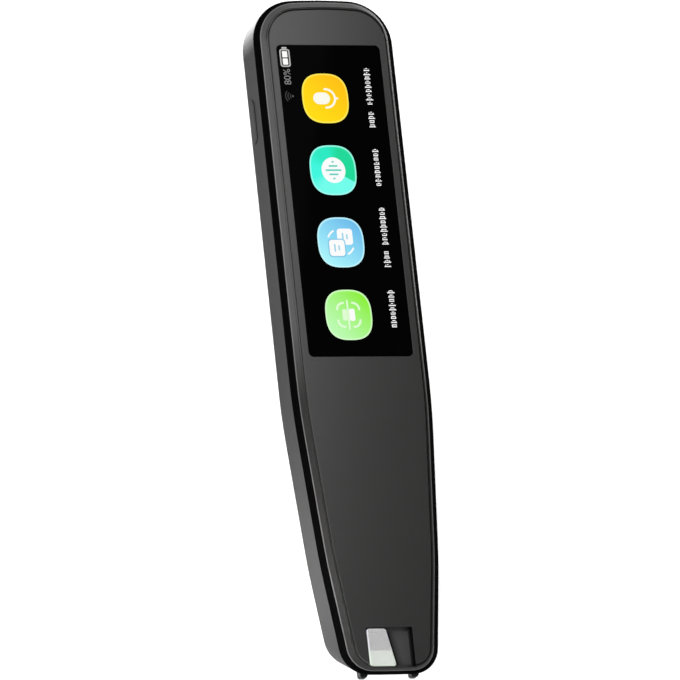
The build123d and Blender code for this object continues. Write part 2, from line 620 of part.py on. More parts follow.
# ---- front panel: the satin face with the screen's and the pocket's openings --------------------
with BuildPart() as front_panel:
    extrude(plan(PANEL_SEAT, PANEL_INSET), amount=PANEL_THICK)
    chamfer(front_panel.faces().sort_by(Axis.Z)[-1].edges(), PANEL_EDGE)
    with BuildSketch(Plane.XY.offset(PANEL_SEAT)):
        with Locations((0, SCREEN_Y)):
            RectangleRounded(SCREEN_WIDTH, SCREEN_LENGTH, SCREEN_CORNER_R)
        with Locations((POCKET_X, POCKET_Y)):
            Rectangle(POCKET_WIDTH, POCKET_LENGTH)
    extrude(amount=PANEL_THICK, mode=Mode.SUBTRACT)
front_panel.part.label = "front_panel"
export_step(front_panel.part, "parts/front_panel.step")

# ---- display: touch glass, panel, tray and flex -----------------------------------------------
with BuildPart() as touch_glass:
    with BuildSketch(Plane.XY.offset(PANEL_SEAT)):
        with Locations((0, SCREEN_Y)):
            RectangleRounded(
                SCREEN_WIDTH - 2 * SCREEN_GAP, SCREEN_LENGTH - 2 * SCREEN_GAP, SCREEN_CORNER_R - SCREEN_GAP
            )
    extrude(amount=PANEL_THICK - SCREEN_SINK)
touch_glass.part.label = "touch_glass"
export_step(touch_glass.part, "parts/touch_glass.step")

with BuildPart() as display_panel:
    with BuildSketch(Plane.XY.offset(DECK_TOP + TRAY_THICK)):
        with Locations((0, LCD_Y)):
            Rectangle(LCD_WIDTH, LCD_LENGTH)
    extrude(amount=PANEL_SEAT - DECK_TOP - TRAY_THICK)
    # step down to the connection ledge at the tip end
    with BuildSketch(Plane.XY.offset(PANEL_SEAT)):
        with Locations((0, LCD_TIP_Y)):
            Rectangle(LCD_WIDTH, 2 * LEDGE_LENGTH)
    extrude(amount=-LEDGE_DEPTH, mode=Mode.SUBTRACT)
display_panel.part.label = "display_panel"
export_step(display_panel.part, "parts/display_panel.step")

with BuildPart() as display_tray:
    with BuildSketch(Plane.XY.offset(DECK_TOP)):
        with Locations((0, LCD_Y)):
            Rectangle(TRAY_WIDTH, TRAY_LENGTH)
    extrude(amount=TRAY_LIP)
    with BuildSketch(Plane.XY.offset(DECK_TOP + TRAY_THICK)):
        with Locations((0, LCD_Y)):
            Rectangle(TRAY_WIDTH - 2 * TRAY_WALL, TRAY_LENGTH - 2 * TRAY_WALL)
        # notch that the flex leaves by
        with Locations((DISPLAY_FLEX_X, LCD_TIP_Y)):
            Rectangle(DISPLAY_FLEX_WIDTH + 2 * FLEX_SIDE, 2 * FLEX_SIDE)
    extrude(amount=TRAY_LIP, mode=Mode.SUBTRACT)
display_tray.part.label = "display_tray"
export_step(display_tray.part, "parts/display_tray.step")

display_flex = flex_strip(
    [
        (LCD_TIP_Y, DISPLAY_FLEX_Z),
        (FLEX_SLOT_Y, DISPLAY_FLEX_Z),
        (FLEX_SLOT_Y, SHELL_TOP - FLEX_UNDER),
        (BOARD_TIP_Y + FLEX_LAND + FLEX_RAMP, FLEX_MID),
        (BOARD_TIP_Y + FLEX_LAND - FLEX_RAMP, FLEX_MID),
    ],
    DISPLAY_FLEX_WIDTH,
    DISPLAY_FLEX_X,
)
display_flex.part.label = "display_flex"
export_step(display_flex.part, "parts/display_flex.step")

# ---- scan window in the pocket ----------------------------------------------------------------
with BuildPart() as scan_window:
    extrude(window_face(WINDOW_Z, WINDOW_TIP_Y, WINDOW_END_Y), amount=WINDOW_THICK)
    fillet(scan_window.edges().filter_by(Axis.Z).group_by(Axis.Y)[-1], WINDOW_CORNER_R)
    fillet(scan_window.edges().filter_by(Axis.Z).group_by(Axis.Y)[0], WINDOW_TIP_R)
    chamfer(scan_window.faces().sort_by(Axis.Z)[-1].edges(), WINDOW_BEVEL)
scan_window.part.label = "scan_window"
export_step(scan_window.part, "parts/scan_window.step")

with BuildPart() as window_diffuser:
    extrude(window_face(POCKET_FLOOR, WINDOW_SPLIT_Y, WINDOW_END_Y), amount=WINDOW_Z - POCKET_FLOOR)
    fillet(window_diffuser.edges().filter_by(Axis.Z).group_by(Axis.Y)[-1], WINDOW_CORNER_R)
    with BuildSketch(Plane.XY.offset(POCKET_FLOOR)):
        with Locations((STEM_X, STEM_Y)):
            Rectangle(STEM_SIZE, STEM_SIZE)
    extrude(amount=-STEM_LENGTH)
window_diffuser.part.label = "window_diffuser"
export_step(window_diffuser.part, "parts/window_diffuser.step")

with BuildPart() as window_reflector:
    extrude(window_face(POCKET_FLOOR, WINDOW_TIP_Y, WINDOW_SPLIT_Y), amount=WINDOW_Z - POCKET_FLOOR)
    fillet(window_reflector.edges().filter_by(Axis.Z).group_by(Axis.Y)[0], WINDOW_TIP_R)
window_reflector.part.label = "window_reflector"
export_step(window_reflector.part, "parts/window_reflector.step")

# ---- clear cover in the slanted tip -------------------------------------------------------------
with BuildPart() as scan_cover:
    with BuildSketch(SLANT_PLANE.offset(-SLANT_WALL - COVER_THICK)):
        RectangleRounded(SCAN_WIDTH + 2 * COVER_LAP, SCAN_HEIGHT + 2 * COVER_LAP, SCAN_CORNER_R + COVER_LAP)
    extrude(amount=COVER_THICK)
    with BuildSketch(SLANT_PLANE.offset(-SLANT_WALL)):
        RectangleRounded(
            SCAN_WIDTH - 2 * COVER_GAP, SCAN_HEIGHT - 2 * COVER_GAP, SCAN_CORNER_R - COVER_GAP
        )
    extrude(amount=SLANT_WALL - COVER_GAP)
scan_cover.part.label = "scan_cover"
export_step(scan_cover.part, "parts/scan_cover.step")

# ---- camera behind the cover ----------------------------------------------------------------------
with BuildPart() as camera_housing:
    with BuildSketch(Plane.XY.offset(SHELL_FLOOR)):
        with Locations((0, CAMERA_Y)):
            Rectangle(CAMERA_WIDTH, CAMERA_LENGTH)
    extrude(amount=CAMERA_HEIGHT)
    chamfer(camera_housing.faces().sort_by(Axis.Y)[0].edges(), CAMERA_WALL / 2)
    with BuildSketch(Plane.XZ.offset(-CAMERA_BACK_Y)):
        with Locations((0, CAMERA_Z)):
            Rectangle(CAMERA_WIDTH - 2 * CAMERA_WALL, CAMERA_HEIGHT - 2 * CAMERA_WALL)
    extrude(amount=CAMERA_LENGTH - CAMERA_WALL, mode=Mode.SUBTRACT)
    with BuildSketch(Plane.XZ.offset(-CAMERA_FRONT_Y)):
        with Locations((0, CAMERA_Z)):
            Circle(BARREL_R + FIT_GAP)
    extrude(amount=-CAMERA_WALL, mode=Mode.SUBTRACT)
camera_housing.part.label = "camera_housing"
export_step(camera_housing.part, "parts/camera_housing.step")

with BuildPart() as lens_barrel:
    with BuildSketch(Plane.XZ.offset(-BARREL_FRONT_Y)):
        with Locations((0, CAMERA_Z)):
            Circle(BARREL_R)
            Circle(LENS_R - LENS_LIP, mode=Mode.SUBTRACT)
    extrude(amount=-BARREL_PROUD - CAMERA_WALL)
    with BuildSketch(Plane.XZ.offset(-BARREL_FRONT_Y)):
        with Locations((0, CAMERA_Z)):
            Circle(LENS_R + FIT_GAP)
    extrude(amount=-LENS_THICK - LENS_SINK, mode=Mode.SUBTRACT)
lens_barrel.part.label = "lens_barrel"
export_step(lens_barrel.part, "parts/lens_barrel.step")

with BuildPart() as camera_lens:
    with BuildSketch(Plane.XZ.offset(-BARREL_FRONT_Y - LENS_SINK)):
        with Locations((0, CAMERA_Z)):
            Circle(LENS_R)
    extrude(amount=-LENS_THICK)
camera_lens.part.label = "camera_lens"
export_step(camera_lens.part, "parts/camera_lens.step")

with BuildPart() as camera_board:
    with BuildSketch(Plane.XZ.offset(-CAMERA_BACK_Y)):
        with Locations((0, CAMERA_Z)):
            Rectangle(CAMERA_WIDTH, CAMERA_HEIGHT)
    extrude(amount=-SENSOR_BOARD_THICK)
camera_board.part.label = "camera_board"
export_step(camera_board.part, "parts/camera_board.step")

with BuildPart() as image_sensor:
    with BuildSketch(Plane.XZ.offset(-CAMERA_BACK_Y)):
        with Locations((0, CAMERA_Z)):
            Rectangle(SENSOR_WIDTH, SENSOR_HEIGHT)
    extrude(amount=SENSOR_THICK)
image_sensor.part.label = "image_sensor"
export_step(image_sensor.part, "parts/image_sensor.step")

camera_flex = flex_strip(
    [
        (CAMERA_BOARD_BACK_Y + FLEX_THICK / 2, CAMERA_Z - SENSOR_HEIGHT / 2),
        (CAMERA_BOARD_BACK_Y + FLEX_THICK / 2, CAMERA_FLEX_Z),
        (BOARD_TIP_Y - FLEX_RUN, CAMERA_FLEX_Z),
        (BOARD_TIP_Y - FLEX_RAMP, FLEX_MID),
        (BOARD_TIP_Y + FLEX_LAND, FLEX_MID),
    ],
    CAMERA_FLEX_WIDTH,
    CAMERA_FLEX_X,
)
camera_flex.part.label = "camera_flex"
export_step(camera_flex.part, "parts/camera_flex.step")

# ---- tip board with the scan lights, the window's light and the trigger switch -------------------
with BuildPart() as tip_board:
    with BuildSketch(Plane.XY.offset(TIP_BOARD_Z)):
        with Locations((0, (TIP_BOARD_FRONT_Y + TIP_BOARD_BACK_Y) / 2)):
            Rectangle(FOOT_SPREAD - 2 * TIP_BOARD_INSIDE, TIP_BOARD_LENGTH)
        with Locations(*STAKES):
            Rectangle(STAKE_SIZE + 2 * FIT_GAP, STAKE_SIZE + 2 * FIT_GAP, mode=Mode.SUBTRACT)
    extrude(amount=TIP_BOARD_THICK)
tip_board.part.label = "tip_board"
export_step(tip_board.part, "parts/tip_board.step")

with BuildPart() as scan_lights:
    with BuildSketch(Plane.XY.offset(TIP_BOARD_Z)):
        with Locations((0, LED_Y)):
            with GridLocations(LED_SPREAD, 0, 2, 1):
                Rectangle(LED_SIZE, LED_SIZE)
    extrude(amount=-LED_THICK)
scan_lights.part.label = "scan_lights"
export_step(scan_lights.part, "parts/scan_lights.step")

with BuildPart() as window_light:
    with BuildSketch(Plane.XY.offset(TIP_BOARD_TOP)):
        with Locations((STEM_X, STEM_Y)):
            Rectangle(LED_SIZE, LED_SIZE)
    extrude(amount=LED_THICK)
window_light.part.label = "window_light"
export_step(window_light.part, "parts/window_light.step")

tip_flex = flex_strip(
    [
        (TIP_BOARD_BACK_Y - FLEX_RAMP, TIP_FLEX_Z),
        (BOARD_TIP_Y - FLEX_RUN, TIP_FLEX_Z),
        (BOARD_TIP_Y - FLEX_RAMP, FLEX_MID),
        (BOARD_TIP_Y + FLEX_LAND, FLEX_MID),
    ],
    TIP_FLEX_WIDTH,
    TIP_FLEX_X,
)
tip_flex.part.label = "tip_flex"
export_step(tip_flex.part, "parts/tip_flex.step")

# ---- trigger: a yoke with two feet, pressed in by the page ------------------------------------------
with BuildPart() as scan_trigger:
    with BuildSketch(Plane.XY.offset(FOOT_TOP_Z - FOOT_HEIGHT)):
        with Locations((0, (ARM_BACK_Y + TIP_Y - FOOT_REACH) / 2)):
            with GridLocations(FOOT_SPREAD, 0, 2, 1):
                Rectangle(FOOT_WIDTH, ARM_BACK_Y - TIP_Y + FOOT_REACH)
    extrude(amount=FOOT_HEIGHT)
    fillet(scan_trigger.faces().group_by(Axis.Y)[0].edges(), FOOT_ROUND)
    with BuildSketch(Plane.XY.offset(FOOT_TOP_Z - CROSSBAR_HEIGHT)):
        with Locations((0, CROSSBAR_Y)):
            Rectangle(FOOT_SPREAD + FOOT_WIDTH, CROSSBAR_THICK)
    extrude(amount=CROSSBAR_HEIGHT)
scan_trigger.part.label = "scan_trigger"
export_step(scan_trigger.part, "parts/scan_trigger.step")

with BuildPart() as trigger_switch:
    with BuildSketch(Plane.XY.offset(TIP_BOARD_Z - SWITCH_HEIGHT)):
        with Locations((0, TRIGGER_SWITCH_Y + SWITCH_DEPTH / 2)):
            Rectangle(SWITCH_LENGTH, SWITCH_DEPTH)
    extrude(amount=SWITCH_HEIGHT)
    with BuildSketch(Plane.XZ.offset(-TRIGGER_SWITCH_Y)):
        with Locations((0, CROSSBAR_Z)):
            Rectangle(PLUNGER_WIDTH + 2 * FIT_GAP, PLUNGER_HEIGHT + 2 * FIT_GAP)
    extrude(amount=-(PLUNGER_IN + TRIGGER_OUT), mode=Mode.SUBTRACT)
trigger_switch.part.label = "trigger_switch"
export_step(trigger_switch.part, "parts/trigger_switch.step")

with BuildPart() as trigger_plunger:
    with BuildSketch(Plane.XZ.offset(-ARM_BACK_Y)):
        with Locations((0, CROSSBAR_Z)):
            Rectangle(PLUNGER_WIDTH, PLUNGER_HEIGHT)
    extrude(amount=-(TRIGGER_OUT + PLUNGER_IN))
trigger_plunger.part.label = "trigger_plunger"
export_step(trigger_plunger.part, "parts/trigger_plunger.step")

# ---- power button in the left wall, its switch and the flex that carries the switch -------------
with BuildPart() as power_button:
    with BuildSketch(button_plane(-WALL_X - BUTTON_PROUD)):
        SlotOverall(BUTTON_LENGTH, BUTTON_HEIGHT)
    extrude(amount=BUTTON_PROUD + WALL_X + BUTTON_FLANGE_X)
    chamfer(power_button.faces().sort_by(Axis.X)[0].edges(), BUTTON_EDGE)
    with BuildSketch(button_plane(BUTTON_FLANGE_X)):
        Rectangle(BUTTON_LENGTH + 2 * FLANGE_LAP, BUTTON_HEIGHT + 2 * FLANGE_LAP)
    extrude(amount=FLANGE_THICK)
    with BuildSketch(button_plane(BUTTON_FLANGE_X + FLANGE_THICK)):
        Rectangle(BUTTON_STEM_SIZE, BUTTON_STEM_SIZE)
    extrude(amount=BUTTON_STEM)
power_button.part.label = "power_button"
export_step(power_button.part, "parts/power_button.step")

with BuildPart() as power_switch:
    with BuildSketch(button_plane(POWER_SWITCH_X)):
        Rectangle(SWITCH_LENGTH, SWITCH_HEIGHT)
    extrude(amount=SWITCH_DEPTH)
    with BuildSketch(button_plane(POWER_SWITCH_X)):
        Rectangle(PLUNGER_WIDTH + 2 * FIT_GAP, PLUNGER_HEIGHT + 2 * FIT_GAP)
    extrude(amount=PLUNGER_IN + BUTTON_OUT, mode=Mode.SUBTRACT)
power_switch.part.label = "power_switch"
export_step(power_switch.part, "parts/power_switch.step")

with BuildPart() as power_plunger:
    with BuildSketch(button_plane(BUTTON_STEM_X)):
        Rectangle(PLUNGER_WIDTH, PLUNGER_HEIGHT)
    extrude(amount=BUTTON_OUT + PLUNGER_IN)
power_plunger.part.label = "power_plunger"
export_step(power_plunger.part, "parts/power_plunger.step")

with BuildPart() as key_flex:
    with BuildSketch(Plane((KEY_FLEX_X, BUTTON_Y, SHELL_FLOOR), x_dir=(0, 1, 0), z_dir=(1, 0, 0))):
        Rectangle(KEY_FLEX_LENGTH, BOARD_Z - SHELL_FLOOR, align=(Align.CENTER, Align.MIN))
    extrude(amount=KEY_FLEX_THICK)
key_flex.part.label = "key_flex"
export_step(key_flex.part, "parts/key_flex.step")

# ---- charging socket: drawn shell and the tongue on its moulded block ----------------------------
PORT_INSIDE = (PORT_WIDTH - 2 * PORT_WALL, PORT_HEIGHT - 2 * PORT_WALL, PORT_CORNER_R - PORT_WALL)
with BuildPart() as socket_shell:
    with BuildSketch(port_plane(PORT_FRONT_Y, inwards=True)):
        RectangleRounded(PORT_WIDTH, PORT_HEIGHT, PORT_CORNER_R)
        RectangleRounded(*PORT_INSIDE, mode=Mode.SUBTRACT)
    extrude(amount=PORT_DEPTH)
socket_shell.part.label = "socket_shell"
export_step(socket_shell.part, "parts/socket_shell.step")

with BuildPart() as socket_tongue:
    with BuildSketch(port_plane(PORT_PLUG_Y, inwards=False)):
        RectangleRounded(*PORT_INSIDE)
    extrude(amount=PORT_PLUG)
    with BuildSketch(port_plane(PORT_PLUG_Y + PORT_PLUG, inwards=False)):
        Rectangle(TONGUE_WIDTH, TONGUE_THICK)
    extrude(amount=TONGUE_LENGTH)
socket_tongue.part.label = "socket_tongue"
export_step(socket_tongue.part, "parts/socket_tongue.step")

# ---- main board and what it carries ------------------------------------------------------------------
with BuildPart() as main_board:
    with BuildSketch(Plane.XY.offset(BOARD_Z)):
        with Locations((0, (BOARD_END_Y + BOARD_TIP_Y) / 2)):
            Rectangle(2 * (INNER_X - BOARD_EDGE), BOARD_END_Y - BOARD_TIP_Y)
        with Locations((0, BOARD_END_Y)):
            Rectangle(2 * TAB_HALF, 2 * (TAB_Y - BOARD_END_Y))
    extrude(amount=BOARD_THICK)
main_board.part.label = "main_board"
export_step(main_board.part, "parts/main_board.step")

with BuildPart() as processor:
    with BuildSketch(Plane.XY.offset(BOARD_TOP)):
        with Locations((0, CAN_Y)):
            Rectangle(CHIP_SIZE, CHIP_SIZE)
    extrude(amount=CHIP_THICK)
processor.part.label = "processor"
export_step(processor.part, "parts/processor.step")

with BuildPart() as processor_shield:
    with BuildSketch(Plane.XY.offset(BOARD_TOP)):
        with Locations((0, CAN_Y)):
            Rectangle(CAN_SIZE, CAN_SIZE)
    extrude(amount=CAN_HEIGHT)
    with BuildSketch(Plane.XY.offset(BOARD_TOP)):
        with Locations((0, CAN_Y)):
            Rectangle(CAN_SIZE - 2 * CAN_WALL, CAN_SIZE - 2 * CAN_WALL)
    extrude(amount=CAN_HEIGHT - CAN_WALL, mode=Mode.SUBTRACT)
processor_shield.part.label = "processor_shield"
export_step(processor_shield.part, "parts/processor_shield.step")

with BuildPart() as memory_chip:
    with BuildSketch(Plane.XY.offset(BOARD_TOP)):
        with Locations((0, MEMORY_Y)):
            Rectangle(MEMORY_WIDTH, MEMORY_LENGTH)
    extrude(amount=CHIP_THICK)
memory_chip.part.label = "memory_chip"
export_step(memory_chip.part, "parts/memory_chip.step")

with BuildPart() as microphones:
    with BuildSketch(Plane.XY.offset(BOARD_Z)):
        with Locations((0, TAB_Y - MIC_LENGTH / 2)):
            with GridLocations(2 * MIC_X, 0, 2, 1):
                Rectangle(MIC_WIDTH, MIC_LENGTH)
    extrude(amount=-MIC_THICK)
microphones.part.label = "microphones"
export_step(microphones.part, "parts/microphones.step")

with BuildPart() as wireless_antenna:
    with BuildSketch(Plane.XY.offset(SHELL_TOP)):
        with Locations((0, END_Y - ANTENNA_TO_END)):
            Rectangle(ANTENNA_WIDTH, ANTENNA_LENGTH)
    extrude(amount=-ANTENNA_THICK)
wireless_antenna.part.label = "wireless_antenna"
export_step(wireless_antenna.part, "parts/wireless_antenna.step")

# ---- battery on its tape, with its leads and plug ----------------------------------------------------
with BuildPart() as battery_tape:
    with BuildSketch(Plane.XY.offset(SHELL_FLOOR)):
        with Locations((0, BATTERY_Y)):
            Rectangle(BATTERY_WIDTH - 2 * TAPE_INSET, BATTERY_LENGTH - 2 * TAPE_INSET)
    extrude(amount=TAPE_THICK)
battery_tape.part.label = "battery_tape"
export_step(battery_tape.part, "parts/battery_tape.step")

with BuildPart() as battery:
    with BuildSketch(Plane.XY.offset(BATTERY_Z)):
        with Locations((0, BATTERY_Y)):
            Rectangle(BATTERY_WIDTH, BATTERY_LENGTH)
    extrude(amount=BATTERY_THICK)
    fillet(battery.edges().filter_by(Axis.Y), BATTERY_EDGE_R)
battery.part.label = "battery"
export_step(battery.part, "parts/battery.step")

with BuildPart() as battery_plug:
    with BuildSketch(Plane.XY.offset(BOARD_Z)):
        with Locations((0, PLUG_Y)):
            Rectangle(PLUG_WIDTH, PLUG_LENGTH)
    extrude(amount=-PLUG_HEIGHT)
battery_plug.part.label = "battery_plug"
export_step(battery_plug.part, "parts/battery_plug.step")

with BuildPart() as battery_leads:
    with BuildSketch(Plane.XZ.offset(-BATTERY_END_Y)):
        with Locations((0, LEAD_Z)):
            with GridLocations(LEAD_SPREAD, 0, 2, 1):
                Circle(LEAD_R)
    extrude(amount=-LEAD_LENGTH)
battery_leads.part.label = "battery_leads"
export_step(battery_leads.part, "parts/battery_leads.step")

# ---- speaker over its slots ------------------------------------------------------------------------------
with BuildPart() as speaker_mesh:
    with BuildSketch(Plane.XY.offset(SHELL_FLOOR)):
        with Locations((0, SPEAKER_Y)):
            Rectangle(SPEAKER_WIDTH - 2 * GASKET_WIDTH, SPEAKER_LENGTH)
    extrude(amount=MESH_THICK)
speaker_mesh.part.label = "speaker_mesh"
export_step(speaker_mesh.part, "parts/speaker_mesh.step")

with BuildPart() as speaker_gasket:
    with BuildSketch(Plane.XY.offset(SHELL_FLOOR + MESH_THICK)):
        with Locations((0, SPEAKER_Y)):
            Rectangle(SPEAKER_WIDTH - 2 * GASKET_WIDTH, SPEAKER_LENGTH)
            Rectangle(
                SPEAKER_WIDTH - 4 * GASKET_WIDTH, SPEAKER_LENGTH - 2 * GASKET_WIDTH, mode=Mode.SUBTRACT
            )
    extrude(amount=GASKET_THICK)
speaker_gasket.part.label = "speaker_gasket"
export_step(speaker_gasket.part, "parts/speaker_gasket.step")

with BuildPart() as speaker:
    with BuildSketch(Plane.XY.offset(SPEAKER_Z)):
        with Locations((0, SPEAKER_Y)):
            RectangleRounded(SPEAKER_WIDTH, SPEAKER_LENGTH, SPEAKER_CORNER_R)
    extrude(amount=SPEAKER_THICK)
    with BuildSketch(Plane.XY.offset(SPEAKER_Z)):
        with Locations((0, SPEAKER_Y)):
            Rectangle(SPEAKER_WIDTH - 4 * GASKET_WIDTH, SPEAKER_LENGTH - 2 * GASKET_WIDTH)
    extrude(amount=CONE_SINK, mode=Mode.SUBTRACT)
speaker.part.label = "speaker"
export_step(speaker.part, "parts/speaker.step")

# ---- screws ---------------------------------------------------------------------------------------------
with BuildPart() as case_screws:
    with BuildSketch(Plane.XY.offset(DECK_TOP)):
        with Locations(*CASE_SCREWS):
            Circle(HEAD_R)
    extrude(amount=HEAD_THICK)
    with BuildSketch(Plane.XY.offset(DECK_TOP)):
        with Locations(*CASE_SCREWS):
            Circle(SCREW_R)
    extrude(amount=-SCREW_LENGTH)
case_screws.part.label = "case_screws"
export_step(case_screws.part, "parts/case_screws.step")
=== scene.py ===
"""Scanning translator pen: finishes, screen contents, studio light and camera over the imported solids."""
import json
from math import copysign, cos, pi, radians, sin

import bmesh
import bpy
from mathutils import Matrix, Quaternion, Vector

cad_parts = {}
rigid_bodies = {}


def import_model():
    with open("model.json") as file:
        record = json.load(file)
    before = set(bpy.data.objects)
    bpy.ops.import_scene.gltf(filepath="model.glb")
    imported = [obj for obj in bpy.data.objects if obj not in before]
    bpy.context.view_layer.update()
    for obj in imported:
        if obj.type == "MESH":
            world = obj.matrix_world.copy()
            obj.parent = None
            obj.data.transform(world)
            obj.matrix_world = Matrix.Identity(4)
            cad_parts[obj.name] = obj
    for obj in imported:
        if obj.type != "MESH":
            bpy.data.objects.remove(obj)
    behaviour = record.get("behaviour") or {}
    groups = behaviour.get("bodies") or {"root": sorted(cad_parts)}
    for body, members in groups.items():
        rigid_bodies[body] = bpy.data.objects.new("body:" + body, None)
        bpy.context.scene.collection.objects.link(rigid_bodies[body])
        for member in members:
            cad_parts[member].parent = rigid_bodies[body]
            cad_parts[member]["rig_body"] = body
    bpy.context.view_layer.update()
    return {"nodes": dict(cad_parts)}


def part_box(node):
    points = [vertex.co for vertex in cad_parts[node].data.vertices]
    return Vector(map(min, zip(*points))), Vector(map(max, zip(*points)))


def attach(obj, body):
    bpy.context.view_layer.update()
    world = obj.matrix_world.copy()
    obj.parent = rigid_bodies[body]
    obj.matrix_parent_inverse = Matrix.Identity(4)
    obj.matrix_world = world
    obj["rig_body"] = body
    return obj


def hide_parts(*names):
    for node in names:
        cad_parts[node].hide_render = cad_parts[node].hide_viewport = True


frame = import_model()
MM = 0.001

# ---- shader tools ------------------------------------------------------------------------------


class Value:
    """A socket of a finish. Adding, subtracting and multiplying values adds the Math nodes for it."""

    def __init__(self, finish, socket):
        self.finish = finish
        self.socket = socket

    def maths(self, operation, *values):
        """The result of a Math node on values and numbers."""
        return self.finish.node("Math", {"operation": operation}, *values)

    def __add__(self, other):
        return self.maths("ADD", self, other)

    def __sub__(self, other):
        return self.maths("SUBTRACT", self, other)

    def __rsub__(self, other):
        return self.maths("SUBTRACT", other, self)

    def __mul__(self, other):
        return self.maths("MULTIPLY", self, other)

    __radd__ = __add__
    __rmul__ = __mul__


class Finish:
    """A material on one Principled shader."""

    MIX_COLOURS = (6, 7)        # the inputs of a Mix node for two colours
    MIXED_COLOUR = 2            # its output for the mixed one
    NOISE_SPAN = (0.3, 0.7)     # where most of a noise lies

    def __init__(self, name, **constants):
        self.material = bpy.data.materials.new(name)
        self.material.use_nodes = True
        self.tree = self.material.node_tree
        self.surface = self.tree.nodes["Principled BSDF"]
        for socket, value in constants.items():
            self.surface.inputs[socket.replace("_", " ")].default_value = value
        self.place = self.node("TexCoord", {}, output="Object")

    def feed(self, socket, value):
        """Links a value to a socket, or sets a plain one on it."""
        if isinstance(value, Value):
            self.tree.links.new(value.socket, socket)
        else:
            socket.default_value = value

    def node(self, kind, settings, *values, output=0, **named):
        """The output of a new node, whose sockets are given in their order or by name."""
        made = self.tree.nodes.new("ShaderNode" + kind)
        stops = settings.pop("stops", ())
        for field, value in settings.items():
            setattr(made, field, value)
        for number, (position, colour) in enumerate(stops):
            elements = made.color_ramp.elements
            element = elements[number] if number < len(elements) else elements.new(position)
            element.position = position
            element.color = colour
        places = dict(enumerate(values)) | {name.replace("_", " "): value for name, value in named.items()}
        for socket, value in places.items():
            self.feed(made.inputs[socket], value)
        return Value(self, made.outputs[output])

    def noise(self, size, detail=2, stretch=(1, 1, 1)):
        """Soft noise from 0 to 1 whose blobs are about size metres, squeezed along the axes by stretch."""
        place = self.node("Mapping", {}, self.place, Scale=stretch)
        return self.node("TexNoise", {}, Vector=place, Scale=1 / size, Detail=detail)

    def axis(self, name):
        """The place along X, Y or Z, in metres."""
        return self.node("SeparateXYZ", {}, self.place, output=name)

    def share(self, value, low, high, to_low=0.0, to_high=1.0):
        """The value taken from low..high to to_low..to_high, held at the ends."""
        return self.node("MapRange", {}, value, low, high, to_low, to_high)

    def blend(self, factor, *colours):
        """Colours evenly spaced along a factor of 0 to 1."""
        stops = [(number / (len(colours) - 1), colour) for number, colour in enumerate(colours)]
        return self.node("ValToRGB", {"stops": stops}, factor)

    def mix(self, factor, first, second):
        """One colour over another by a factor."""
        mixed = self.node("Mix", {"data_type": "RGBA"}, factor, output=self.MIXED_COLOUR)
        for number, colour in zip(self.MIX_COLOURS, (first, second)):
            self.feed(mixed.socket.node.inputs[number], colour)
        return mixed

    def set(self, socket, value):
        """Gives one of the shader's sockets its value."""
        self.feed(self.surface.inputs[socket], value)
        return self

    def rough(self, noise, low, high):
        """Roughness that goes from low to high with a noise."""
        return self.set("Roughness", self.share(noise, *self.NOISE_SPAN, low, high))

    def bump(self, height, depth):
        """Relief of depth metres from a height of 0 to 1."""
        return self.set("Normal", self.node("Bump", {}, Strength=1, Distance=depth, Height=height))


def grey(level, warm=0.0):
    """A linear grey, a little warmer or cooler."""
    return (level * (1 + warm), level, level * (1 - warm), 1)


def shade(colour, share):
    """A darker or lighter shade of a colour."""
    return (*[part * share for part in colour[:3]], 1)


def paint(code):
    """The linear colour of a screen colour such as "FFC107"."""
    shown = [int(code[i : i + 2], 16) / 255 for i in (0, 2, 4)]
    return (*[c / 12.92 if c < 0.04045 else ((c + 0.055) / 1.055) ** 2.4 for c in shown], 1)


# ---- kinds of finish ---------------------------------------------------------------------------

END_BEND = 66 * MM      # where the charging end begins to round off, along the pen
# What every lit shape on the screen has in common
LIT = {"Base_Color": grey(0.003), "Roughness": 0.25, "Specular_IOR_Level": 0.02, "Emission_Strength": 1.0}


def moulded(name, level, grain, depth, roughness, warm=0.0, **constants):
    """Plastic with a mould grain of a size and depth, slightly uneven in colour and gloss."""
    finish = Finish(name, **constants)
    cloud = finish.noise(6 * MM, 3)
    pits = finish.noise(grain)
    dust = finish.noise(0.9 * MM, 4)
    finish.set("Base Color", finish.blend(cloud, grey(level * 0.94, warm), grey(level * 1.06, warm)))
    finish.rough(pits * 0.6 + dust * 0.4, roughness - 0.05, roughness + 0.05)
    return finish.bump(pits, depth)


def gloss(name, level, roughness, tint=(1, 1, 1), **constants):
    """Hard polished surface with faint handling marks."""
    finish = Finish(name, **constants)
    wipe = finish.noise(4 * MM, 3, (1, 0.3, 1))
    colour = shade(tint, level)
    finish.set("Base Color", finish.blend(wipe, shade(colour, 0.8), shade(colour, 1.2)))
    return finish.rough(wipe, roughness, roughness * 1.6)


def rolled_metal(name, tint, roughness, stretch=(1, 0.08, 1)):
    """Rolled or drawn sheet metal with fine lines."""
    finish = Finish(name, Metallic=1.0)
    lines = finish.noise(0.3 * MM, 4, stretch)
    finish.set("Base Color", finish.blend(lines, shade(tint, 0.82), shade(tint, 1)))
    finish.rough(lines, roughness, roughness + 0.14)
    return finish.bump(lines, 0.004 * MM)


def circuit_board():
    """Green solder mask over copper runs."""
    finish = Finish("circuit_board", Coat_Weight=0.3)
    runs = finish.node("TexBrick", {"offset": 0.3}, Vector=finish.place, Scale=420.0, Mortar_Size=0.03)
    finish.set("Base Color", finish.mix(runs * 0.5, paint("0B3A22"), paint("14603A")))
    return finish.rough(finish.noise(1.5 * MM), 0.3, 0.42)


def film(name, tint):
    """Thin film with printed runs along it."""
    finish = Finish(name, Coat_Weight=0.4)
    runs = finish.node("TexWave", {"bands_direction": "X"}, Vector=finish.place, Scale=900.0, Distortion=0.0)
    finish.set("Base Color", finish.mix(runs, shade(tint, 0.6), shade(tint, 1)))
    return finish.rough(finish.noise(3 * MM), 0.3, 0.4)


